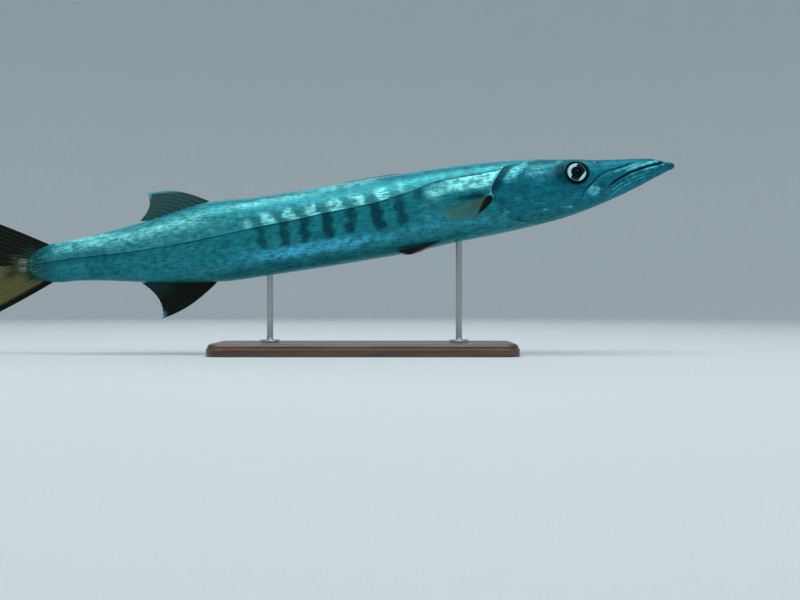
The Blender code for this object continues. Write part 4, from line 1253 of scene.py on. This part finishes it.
def ray_tree():
    """Draws jointed rays along lines and joins them with the web between them."""
    tree, given, made = new_tree(
        "Jointed fin rays",
        Web=("NodeSocketObject", None),
        Joint=("NodeSocketFloat", 0.0024),
        Pinch=("NodeSocketFloat", 0.16),
        Sides=("NodeSocketInt", 6),
        Material=("NodeSocketMaterial", None),
    )
    lines = node(tree, "GeometryNodeMeshToCurve", {0: given["Geometry"]})
    step = node(tree, "ShaderNodeMath", {0: given["Joint"], 1: 3.0}, operation="DIVIDE")
    even = node(tree, "GeometryNodeResampleCurve", {"Curve": lines, "Length": step}, mode="LENGTH")
    way = node(tree, "GeometryNodeSplineParameter", output="Length")
    joints = node(tree, "ShaderNodeMath", {0: way, 1: given["Joint"]}, operation="DIVIDE")
    wave = node(tree, "ShaderNodeMath", {0: joints, 1: 2 * math.pi}, **TIMES)
    wave = node(tree, "ShaderNodeMath", {0: wave}, operation="COSINE")
    wave = node(tree, "ShaderNodeMath", {0: wave, 1: given["Pinch"]}, **TIMES)
    girth = node(tree, "GeometryNodeInputNamedAttribute", {"Name": "girth"}, data_type="FLOAT")
    pinched = node(tree, "ShaderNodeMath", {0: 1.0, 1: wave}, operation="SUBTRACT")
    radius = node(tree, "ShaderNodeMath", {0: girth, 1: pinched}, **TIMES)
    round_ray = {"Resolution": given["Sides"], "Radius": 1.0}
    profile = node(tree, "GeometryNodeCurvePrimitiveCircle", round_ray, mode="RADIUS")
    tube = {"Curve": even, "Profile Curve": profile, "Scale": radius, "Fill Caps": True}
    tubes = node(tree, "GeometryNodeCurveToMesh", tube)
    smooth_tubes = node(tree, "GeometryNodeSetShadeSmooth", {"Geometry": tubes})
    web = node(tree, "GeometryNodeObjectInfo", {"Object": given["Web"]}, output="Geometry")
    joined = node(tree, "GeometryNodeJoinGeometry", {0: [smooth_tubes, web]})
    real = node(tree, "GeometryNodeRealizeInstances", {0: joined})
    of_rays = {"Geometry": real, "Selection": girth, "Material": given["Material"]}
    tree.links.new(node(tree, "GeometryNodeSetMaterial", of_rays), made[0])
    return tree


def fin_web(name, shape, count, rows, thickness, per_ray=6):
    """The web of a fin as a thin closed sheet, hollowed a little between rays, with a scalloped edge."""
    columns = (count - 1) * per_ray + 1
    across = np.broadcast_to(np.linspace(0, 1, columns)[:, None], (columns, rows))
    between = np.abs(np.sin(np.pi * across * (count - 1)))
    out = np.broadcast_to(np.linspace(-0.06, 1, rows), (columns, rows))
    scallop, thinning, hollow = 0.022, 0.6, 0.3
    out = np.where(out > 0, out * (1 - scallop * between * out), out)
    points, normals = shape(across, out)
    half = thickness / 2 * (1 - thinning * np.clip(out, 0, 1)) * (1 - hollow * between)
    half = half * np.where((across == 0) | (across == 1), 0.6, 1.0)
    shift = normals * half[..., None]
    sheet = np.concatenate([(points + shift).reshape(-1, 3), (points - shift).reshape(-1, 3)])
    other = columns * rows
    faces = grid_faces(columns, rows)
    faces += [tuple(k + other for k in f[::-1]) for f in faces]
    edge = list(range(rows)) + [c * rows + rows - 1 for c in range(1, columns)]
    edge += [(columns - 1) * rows + r for r in range(rows - 2, -1, -1)]
    edge += [c * rows for c in range(columns - 2, 0, -1)]
    faces += [(b, a, a + other, b + other) for a, b in zip(edge, edge[1:] + edge[:1])]
    marks = {key: np.tile(values.ravel(), 2) for key, values in fin_marks(shape, across, out).items()}
    web = piece_from(name, world(sheet), faces, marks)
    face_outwards(web.data)
    return web


def fin_marks(shape, across, out):
    """Where points lie in their fin: out, across and, in millimetres, how far from the root and from a
    line that slants out towards the last ray."""
    reach = np.linalg.norm(shape(across, out)[0] - shape(across, out * 0)[0], axis=-1)
    return {"fin_out": out, "fin_across": across, "fin_reach": reach, "fin_slant": reach - 16 * across}


def build_fin(name, shape, count, sizes, fins, looks, slot, rows=40, plain=1, steps=40):
    """One fin: its web, and its rays drawn through a geometry tree."""
    web = fin_web(f"{name} web", shape, count, rows, fins.web / MM)
    web.data.materials.append(looks[0])
    lines = ray_lines(count, steps, sizes, plain)
    across, out, radius = (np.concatenate(values) for values in zip(*lines))
    starts = np.cumsum([0] + [len(line[0]) for line in lines])
    edges = [(k, k + 1) for a, b in zip(starts, starts[1:]) for k in range(a, b - 1)]
    rooted = np.where(out == 0, -0.05, out)
    marks = {"girth": radius * MM, **fin_marks(shape, across, out)}
    fin = piece_from(name, world(shape(across, rooted)[0]), [], marks, edges=edges)
    tree = bpy.data.node_groups.get("Jointed fin rays") or ray_tree()
    run_tree(fin, tree, Web=web, Joint=fins.joint, Material=looks[1])
    bpy.data.objects.remove(web)
    hand_over(fin, slot, name)


# The fins of the middle plane: where their first and their last ray have root and tip, as (u, h) or, in
# the folded fin, as u alone.
SECOND_DORSAL = {
    "roots": ((673, 49.5), (762, 37.0)), "tips": ((764, 76.5), (779, 38.5)), "hollow": 9.5,
    "bow": 9.0, "rise": 1,
}
ANAL = {
    "roots": ((681, -65.5), (778, -51.5)), "tips": ((769, -107.0), (790, -51.0)), "hollow": 11.0,
    "bow": 6.5, "rise": -1,
}
FOLDED_DORSAL = {"roots": (396, 452), "tips": (430, 478)}


def in_middle_plane(u, h):
    """Points and normals of a fin that stands in the fish's middle plane."""
    points = np.stack([u, np.zeros_like(u), h], axis=-1)
    return points, np.broadcast_to([0.0, 1.0, 0.0], points.shape)


def median_shape(roots, tips, hollow, bow, rise, sink=4.0):
    """Places in a raised fin of the middle plane, from its across and out shares. roots and tips have
    (u, h) at the first and the last ray. rise is 1 on the back and -1 under the belly."""

    def shape(across, out):
        inside = np.clip(out, 0, 1)
        root_u, root_h = (mix(first, last, across) for first, last in zip(*roots))
        tip_u, tip_h = (mix(first, last, across) for first, last in zip(*tips))
        tip_u = tip_u - hollow * np.sin(np.pi * np.clip(across, 0, 1)) ** 0.8
        arch = np.sin(np.pi * inside) * bow * (1 - across) * rise
        h = mix(root_h, tip_h, inside) + arch - sink * rise * (out < 0)
        return in_middle_plane(mix(root_u, tip_u, inside), h)

    return shape


def folded_shape(across, out):
    """Places in the first dorsal fin, folded back along the ridge of the back."""
    inside = np.clip(out, 0, 1)
    root_u, tip_u = (mix(*FOLDED_DORSAL[key], across) for key in ("roots", "tips"))
    root_h, tip_h = along(BACK, root_u), along(BACK, tip_u) + 0.6 * (1 - across) + 0.3
    h = mix(root_h, tip_h, inside) + 0.5 * np.sin(np.pi * inside) - 3.0 * (out < 0)
    return in_middle_plane(mix(root_u, tip_u, inside), h)


TAIL = {
    "root": 918.0, "middle": -3.0, "tilt": math.radians(5.5), "half_root": 25.0, "bulge": 26.0,
    "lead": 6.0, "sunk": 9.0, "lobe": 152.0, "fork": 80.0, "half_span": 96.0, "notch": 7.0, "bow": 3.0,
}


def tail_shape(side):
    """Places in one lobe of the tail fin, from its outer ray in. side is 1 for the upper lobe."""
    f = TAIL

    def shape(across, out):
        outer = 1 - np.clip(across, 0, 1)
        inside = np.clip(out, 0, 1)
        root_back = f["bulge"] * (1 - outer**2) - f["lead"] * outer
        root_up = 0.2 + (f["half_root"] - 0.3) * outer
        notch = f["notch"] * bump(outer - 0.32, 0.14)
        tip_back = mix(f["fork"], f["lobe"], outer**1.25) + notch
        tip_up = 0.2 + (f["half_span"] - 0.3) * outer**1.05
        back = mix(root_back, tip_back, inside) - f["sunk"] * (out < 0)
        up = root_up * np.where(out < 0, 0.85, 1.0) + (tip_up - root_up) * inside
        c, sine = math.cos(f["tilt"]), math.sin(f["tilt"])
        u = f["root"] + back * c - side * up * sine
        h = f["middle"] + back * sine + side * up * c + side * f["bow"] * outer * np.sin(np.pi * inside)
        return in_middle_plane(u, h)

    return shape


PECTORAL = {
    "root": (271.5, -6.0), "base": (4.0, -0.2, -10.0), "lead": (0.975, 0.17, -0.13),
    "last": (0.78, 0.28, -0.52), "lengths": (76.0, 34.0), "spread": 1.5, "taper": 3.0, "curl": 1.5,
    "inward": (0.0, -1.0, 0.25), "round": 3.0,
}
PELVIC = {
    "root": (352.0, -57.0), "base": (7.0, -5.0, -2.6), "lead": (0.985, 0.12, -0.09),
    "last": (0.96, -0.06, -0.26), "lengths": (66.0, 36.0), "spread": 1.3, "taper": 1.3, "curl": 0.8,
    "inward": (0.0, -1.0, 0.9), "round": 0.0,
}


def paired_shape(fin, side):
    """Places in a paired fin, from its across and out shares."""
    u, h = fin["root"]
    mirror = np.array([1.0, side, 1.0])
    first = np.array([u, flank_y(u, h), h]) * mirror
    base, lead, last = (np.array(fin[key]) * mirror for key in ("base", "lead", "last"))
    inward = unit(np.array(fin["inward"])) * mirror

    def shape(across, out):
        across = np.clip(across, 0, 1)[..., None]
        inside = np.clip(out, 0, 1)[..., None]
        way = unit(mix(lead, last, across ** fin["spread"]))
        length = mix(*fin["lengths"], across ** fin["taper"])
        normal = unit(np.cross(base, way)) * side
        points = first + base * across + way * length * inside
        points[..., :1] -= fin["round"] * np.sin(np.pi * across) * (1 - inside) ** 3
        points = points - normal * fin["curl"] * np.sin(np.pi * inside)
        return points + inward * 3.0 * (out < 0)[..., None], normal

    return shape


FIN_GRAIN = (90.0, 3.0, 1.0)  # streaks across a fin and along it, about 1 mm wide


def fin_looks(name, web, ray, share, coats, lines=(), clear=False):
    """The two finishes of a fin. The web is thin wet skin with a grain along the rays, and the rays
    are bone under it, which shows through by share. coats lie on both, and lines are coats that the
    grain breaks into fine streaks. A clear web lets light through away from its root."""
    looks = []
    for kind, rough in (("web", 0.36), ("rays", 0.33)):
        material, tree, shader = new_material(f"{name} {kind}")
        cloudy = node(tree, "ShaderNodeTexNoise", {"Vector": fish_place(tree), "Scale": 1 / 6, "Detail": 4.0})
        out, across = (
            node(tree, "ShaderNodeAttribute", output="Fac", attribute_name=mark)
            for mark in ("fin_out", "fin_across")
        )
        place = node(tree, "ShaderNodeCombineXYZ", {0: across, 1: out})
        place = node(tree, "ShaderNodeVectorMath", {0: place, 1: FIN_GRAIN}, **TIMES)
        grain = node(tree, "ShaderNodeTexNoise", {"Vector": place, "Scale": 1.0, "Detail": 3.0})
        most = share if kind == "rays" else 0.4 * share
        lit = node(tree, "ShaderNodeMapRange", {0: cloudy, 1: 0.35, 2: 0.65, 3: 0.5 * most, 4: most})
        streaks = node(tree, "ShaderNodeMapRange", {0: grain, 1: 0.4, 2: 0.7, 4: most})
        fine = node(tree, "ShaderNodeMapRange", {0: grain, 1: 0.46, 2: 0.58, 4: 0.9})
        broken = [(paint, fine, *bounds) for paint, *bounds in lines]
        colour = painted(tree, web, ((ray, streaks), (ray, lit), *coats, *broken))
        relief = {"Height": grain, "Strength": 0.25, "Distance": 0.2 * MM}
        normal = node(tree, "ShaderNodeBump", relief)
        wet = {"Base Color": colour, "Normal": normal, "Roughness": rough, "Specular IOR Level": 0.08}
        connect(tree, shader, wet)
        if clear:
            slant = node(tree, "ShaderNodeAttribute", output="Fac", attribute_name="fin_slant")
            thinning = {0: slant, 1: 8.0, 2: 22.0, 3: 1.0, 4: 0.2 if kind == "web" else 0.5}
            connect(tree, shader, {"Alpha": node(tree, "ShaderNodeMapRange", thinning, **SOFT)})
        looks.append(material)
    return looks


class BARRACUDA_OT_median_fins(bpy.types.Operator):
    """Builds the two dorsal fins and the anal fin"""

    bl_idname = "barracuda.median_fins"
    bl_label = "Dorsal and anal fins"

    def execute(self, context):
        fins = context.scene.barracuda_fins
        lead = (fins.tip, 0.85, ("fin_across", 0.09, 0.02), ("fin_out", 0.4, 0.75))
        tip = (fins.tip, 0.85, ("fin_out", 0.9, 0.99), ("fin_across", 0.3, 0.1))
        dorsal = fin_looks("Dark dorsal fin", fins.dorsal, fins.ray, 0.16, (lead, tip))
        tip = (fins.tip, 0.6, ("fin_out", 0.88, 1.0), ("fin_across", 0.25, 0.05))
        rear = (fins.dorsal, 0.55, ("fin_across", 0.4, 0.9))
        anal = fin_looks("Black anal fin", fins.black, fins.ray, 0.04, (rear, tip))
        folded = fin_looks("Folded dorsal fin", fins.folded, fins.ray, 0.08, ())
        second, under = median_shape(**SECOND_DORSAL), median_shape(**ANAL)
        build_fin("dorsal_fin_second", second, 10, (1.0, 0.17), fins, dorsal, "dark_fin")
        build_fin("anal_fin", under, 10, (1.0, 0.17), fins, anal, "dark_fin")
        build_fin("dorsal_fin_first", folded_shape, 5, (0.8, 0.3), fins, folded, "dark_fin", rows=16, plain=5)
        return {"FINISHED"}


class BARRACUDA_OT_tail_fin(bpy.types.Operator):
    """Builds the two lobes of the forked tail fin"""

    bl_idname = "barracuda.tail_fin"
    bl_label = "Tail fin"

    def execute(self, context):
        fins = context.scene.barracuda_fins
        skin = (fins.stem, 1.0, ("fin_reach", 22.0, 5.0), ("fin_across", 0.15, 0.5))
        root = (fins.stem, ("fin_reach", 31.0, 14.0), ("fin_across", 0.1, 0.4))
        pale = (fins.ray, ("fin_across", 0.62, 0.9), ("fin_out", 0.6, 0.1))
        black = fin_looks("Black tail lobe", fins.black, fins.ray, 0.05, (skin,), (root, pale))
        edge = (fins.edge, 0.95, ("fin_across", 0.2, 0.1))
        tip = (fins.edge, 0.5, ("fin_out", 0.8, 1.0))
        middle = (fins.black, 0.8, ("fin_across", 0.6, 0.8), ("fin_out", 0.75, 0.4))
        coats, lines = (edge, tip, middle, skin), (root, pale)
        olive = fin_looks("Olive tail lobe", fins.olive, fins.ray, 0.2, coats, lines)
        for name, side, looks, slot in (("upper", 1, black, "dark_fin"), ("lower", -1, olive, "olive_fin")):
            shape = tail_shape(side)
            build_fin(f"tail_fin_{name}", shape, 10, (1.2, 0.2), fins, looks, slot, rows=60, steps=60)
        return {"FINISHED"}


class BARRACUDA_OT_paired_fins(bpy.types.Operator):
    """Builds the pectoral and pelvic fins of both sides"""

    bl_idname = "barracuda.paired_fins"
    bl_label = "Pectoral and pelvic fins"

    def execute(self, context):
        fins = context.scene.barracuda_fins
        root = (fins.edge, 1.0, ("fin_slant", 17.0, 7.0))
        olive = (fins.olive, 0.35, ("fin_slant", 34.0, 16.0))
        coats = (olive, root)
        pectoral = fin_looks("Clear pectoral fin", fins.clear, fins.olive, 0.5, coats, clear=True)
        lower = (fins.tip, 0.5, ("fin_across", 0.82, 0.98), ("fin_out", 0.1, 0.4))
        pelvic = fin_looks("Dark pelvic fin", fins.pelvic, fins.ray, 0.04, (lower,))
        kinds = (
            ("pectoral", PECTORAL, 12, (0.62, 0.16), pectoral),
            ("pelvic", PELVIC, 6, (0.7, 0.16), pelvic),
        )
        for name, side in SIDES:
            for kind, sizes, count, rays, looks in kinds:
                shape = paired_shape(sizes, side)
                build_fin(f"{kind}_fin_{name}", shape, count, rays, fins, looks, "pale_fin")
        return {"FINISHED"}


def wood_material(stand):
    """Close-grained walnut, planed, stained dark and rubbed with satin lacquer."""
    # The grain runs along the board, with open pores 0.9 mm apart that stay darker.
    material, tree, shader = new_material("Stained walnut, satin lacquer")
    place = node(tree, "ShaderNodeTexCoord", output="Object")
    stretched = {"Vector": place, "Scale": (0.07, 1.0, 1.0), "Rotation": (0.3, 0.0, 0.03)}
    place = node(tree, "ShaderNodeMapping", stretched)
    growth = {"Vector": place, "Scale": 1 / stand.grain, "Detail": 6.0, "Roughness": 0.6, "Distortion": 0.6}
    growth = node(tree, "ShaderNodeTexNoise", growth)
    pores = node(tree, "ShaderNodeTexNoise", {"Vector": place, "Scale": 1 / (0.9 * MM), "Detail": 2.0})
    light, deep = (tuple(min(c * k, 1.0) for c in stand.wood) for k in (1.9, 0.45))
    grown = node(tree, "ShaderNodeMapRange", {0: growth, 1: 0.35, 2: 0.68}, **SOFT)
    open_pores = node(tree, "ShaderNodeMapRange", {0: pores, 1: 0.62, 2: 0.75, 4: 0.8}, **SOFT)
    finish = {
        "Base Color": painted(tree, stand.wood, ((light, grown), (deep, open_pores))),
        "Normal": node(tree, "ShaderNodeBump", {"Height": pores, "Strength": 0.15, "Distance": 0.2 * MM}),
        "Roughness": node(tree, "ShaderNodeMapRange", {0: growth, 3: 0.3, 4: 0.5}),
        "Coat Weight": 0.3,
        "Coat Roughness": 0.25,
    }
    connect(tree, shader, finish)
    return material


def steel_material(stand):
    """Stainless steel rod, brushed round: fine scratches run across it and soften its gleam."""
    material, tree, shader = new_material("Brushed stainless steel")
    place = node(tree, "ShaderNodeTexCoord", output="Object")
    place = node(tree, "ShaderNodeMapping", {"Vector": place, "Scale": (0.1, 0.1, 1.0)})
    # Scratches 0.3 mm apart, drawn coarser than real so that they show.
    scratches = node(tree, "ShaderNodeTexNoise", {"Vector": place, "Scale": 1 / (0.3 * MM), "Detail": 2.0})
    finish = {
        "Base Color": stand.steel,
        "Metallic": 1.0,
        "Roughness": node(tree, "ShaderNodeMapRange", {0: scratches, 3: 0.2, 4: 0.45}),
        "Normal": node(tree, "ShaderNodeBump", {"Height": scratches, "Strength": 0.1, "Distance": 0.05 * MM}),
    }
    connect(tree, shader, finish)
    return material


def turned_post(name, profile, x, segments=48):
    """A shape turned about an upright axis through (x, 0). profile has (radius, z) in millimetres,
    from the foot up."""
    points = turned_rings(profile, segments, x) + [(x, 0, profile[0][1]), (x, 0, profile[-1][1])]
    faces = [f[::-1] for f in tube_faces(len(profile), segments)]
    post = piece_from(name, np.array(points) * MM, faces)
    post.data.set_sharp_from_angle(angle=math.radians(35))
    return post


class BARRACUDA_OT_stand(bpy.types.Operator):
    """Builds the wooden base with its moulded edge, and the two steel rods"""

    bl_idname = "barracuda.stand"
    bl_label = "Stand"

    def execute(self, context):
        stand = context.scene.barracuda_stand
        low, high = (np.array(corner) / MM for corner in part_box("stand_base"))
        base = self.board(low, high)
        base.data.materials.append(wood_material(stand))
        hand_over(base, "stand_wood", "stand_base")
        steel = steel_material(stand)
        for node_name in ("stand_rod_front", "stand_rod_rear"):
            low, high = (np.array(corner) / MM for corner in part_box(node_name))
            wide, thin, foot, top = (high[0] - low[0]) / 2, 4.5, low[2], high[2]
            # A flange with a rounded rim, a small fillet and the rod, whose end is sunk in the belly.
            profile = [
                (wide - 0.6, foot - 0.3), (wide, foot + 0.3), (wide, foot + 2.6), (wide - 0.5, foot + 3.4),
                (wide - 1.4, foot + 3.9), (thin + 2.2, foot + 4.0), (thin + 0.9, foot + 4.4),
                (thin + 0.2, foot + 5.4), (thin, foot + 7.0), (thin, foot + 30), (thin, top + 6.0),
            ]
            rod = turned_post(node_name.replace("stand_", "steel_"), profile, (low[0] + high[0]) / 2)
            rod.data.materials.append(steel)
            hand_over(rod, "stand_steel", node_name)
        return {"FINISHED"}

    def board(self, low, high):
        """The base: a rounded board whose upper edge has a small step and a quarter round."""
        corner, steps, tall, step_in, step_up, quarter = 22.0, 12, 18.0, 1.8, 12.2, 5.8
        profile = [(0.9, 0.0), (0.0, 0.9), (0.0, 10.5), (0.5, 11.2), (step_in, 11.5), (step_in, step_up)]
        for a in np.linspace(0.1, math.pi / 2, 9):
            profile.append((step_in + quarter * (1 - math.cos(a)), step_up + quarter * math.sin(a)))
        points = []
        for inset, z in profile:
            for sx, sy, start in ((1, 1, 0), (-1, 1, 90), (-1, -1, 180), (1, -1, 270)):
                for k in range(steps + 1):
                    turn = math.radians(start + 90 * k / steps)
                    x = sx * (high[0] - corner) + (corner - inset) * math.cos(turn)
                    y = sy * (high[1] - corner) + (corner - inset) * math.sin(turn)
                    points.append((x, y, low[2] + z * (high[2] - low[2]) / tall))
        count = 4 * (steps + 1)
        faces = grid_faces(len(profile), count, ring=True, flip=True)
        faces.append(tuple(range(count - 1, -1, -1)))
        faces.append(tuple(range(len(points) - count, len(points))))
        base = piece_from("wooden_base", np.array(points) * MM, faces)
        base.data.set_sharp_from_angle(angle=math.radians(35))
        return base


def plaster_material(stage):
    """Matt painted plaster of the studio's floor and wall."""
    # A roller's texture, 2 mm wide and barely seen, keeps it from looking like bare light.
    material, tree, shader = new_material("Matt painted plaster")
    place = node(tree, "ShaderNodeTexCoord", output="Object")
    nap = node(tree, "ShaderNodeTexNoise", {"Vector": place, "Scale": 1 / (2 * MM), "Detail": 2.0})
    share = node(tree, "ShaderNodeMapRange", {0: nap, 4: 0.06})
    colour = painted(tree, stage.floor, ((tuple(c * 0.8 for c in stage.floor), share),))
    connect(tree, shader, {"Base Color": colour, "Roughness": 0.9})
    return material


class BARRACUDA_OT_stage(bpy.types.Operator):
    """Sets the floor with the round wall it curves up into, the soft lights and the camera"""

    bl_idname = "barracuda.stage"
    bl_label = "Stage"

    def execute(self, context):
        stage = context.scene.barracuda_stage
        flat, bend, top, segments = 3.4, 1.6, 6.0, 96
        profile = [(0.4, 0.0), (1.6, 0.0), (flat, 0.0)]
        profile += [
            (flat + bend * math.sin(a), bend * (1 - math.cos(a))) for a in np.linspace(0.1, math.pi / 2, 14)
        ]
        profile.append((flat + bend, top))
        faces = grid_faces(len(profile), segments, ring=True)
        faces.append(tuple(range(segments)))
        bowl = piece_from("studio_floor", turned_rings(profile, segments), faces)
        bowl.data.materials.append(plaster_material(stage))
        above, white, cool = (-0.06, 0, 0.2), (1.0, 1.0, 1.0), (0.93, 0.98, 1.0)
        self.light("Key", (-0.1, -0.5, 2.6), above, (2.4, 1.6), stage.key, white)
        self.light("Fill", (1.1, -2.1, 2.1), above, (0.4, 0.4), stage.fill, cool)
        self.light("Rim", (-0.4, 2.2, 1.7), above, (2.0, 1.0), stage.key * 0.2, white)
        air = bpy.data.worlds.new("Studio air")
        air.use_nodes = True
        background = air.node_tree.nodes["Background"]
        connect(air.node_tree, background, {"Color": (0.9, 0.95, 1.0), "Strength": stage.air})
        context.scene.world = air
        context.scene.view_settings.view_transform = "Standard"
        self.camera(context)
        return {"FINISHED"}

    def light(self, name, place, target, size, power, colour):
        lamp = bpy.data.lights.new(name, "AREA")
        lamp.shape = "RECTANGLE"
        lamp.size, lamp.size_y = size
        lamp.energy = power
        lamp.color = colour
        obj = bpy.data.objects.new(name, lamp)
        obj.location = place
        way = Vector(target) - Vector(place)
        obj.rotation_euler = way.to_track_quat("-Z", "Y").to_euler()
        obj.visible_camera = False
        bpy.context.scene.collection.objects.link(obj)

    def camera(self, context):
        """Level and square to the fish's side, so that a pixel of the photo is 1.45 mm there."""
        pixel, lens, sensor = 1.45 * MM, 50.0, 36.0
        photo_width, photo_height = 800, 600
        snout_px, snout_py = 674.5, 165.0  # the tip of the snout in the photo
        camera = bpy.data.objects.new("Camera", bpy.data.cameras.new("Camera"))
        camera.data.lens = lens
        camera.data.sensor_width = sensor
        camera.data.clip_end = 60.0
        x = SNOUT_TIP[0] * MM - (snout_px - photo_width / 2) * pixel
        z = SNOUT_TIP[2] * MM - (photo_height / 2 - snout_py) * pixel
        camera.location = (x, -photo_width * pixel * lens / sensor, z)
        camera.rotation_euler = (math.pi / 2, 0, 0)
        context.scene.collection.objects.link(camera)
        context.scene.camera = camera


OPERATORS = (
    BARRACUDA_OT_skin,
    BARRACUDA_OT_scales,
    BARRACUDA_OT_eyes,
    BARRACUDA_OT_median_fins,
    BARRACUDA_OT_tail_fin,
    BARRACUDA_OT_paired_fins,
    BARRACUDA_OT_stand,
    BARRACUDA_OT_stage,
)


class VIEW3D_PT_barracuda(bpy.types.Panel):
    """Lists the pieces of the barracuda and their settings"""

    bl_label = "Barracuda"
    bl_space_type = "VIEW_3D"
    bl_region_type = "UI"
    bl_category = "Barracuda"

    def draw(self, context):
        for operator in OPERATORS:
            self.layout.operator(operator.bl_idname)
        for name, group in GROUPS.items():
            box = self.layout.box()
            box.label(text=name.replace("_", " ").capitalize())
            for key in group.__annotations__:
                box.prop(getattr(context.scene, name), key)


def register():
    for cls in (*GROUPS.values(), *OPERATORS, VIEW3D_PT_barracuda):
        bpy.utils.register_class(cls)
    for name, group in GROUPS.items():
        setattr(bpy.types.Scene, name, PointerProperty(type=group))


def unregister():
    for name in GROUPS:
        delattr(bpy.types.Scene, name)
    for cls in reversed((*GROUPS.values(), *OPERATORS, VIEW3D_PT_barracuda)):
        bpy.utils.unregister_class(cls)


def main():
    register()
    for operator in OPERATORS:
        getattr(bpy.ops.barracuda, operator.bl_idname.split(".")[1])()


if __name__ == "__main__":
    main()
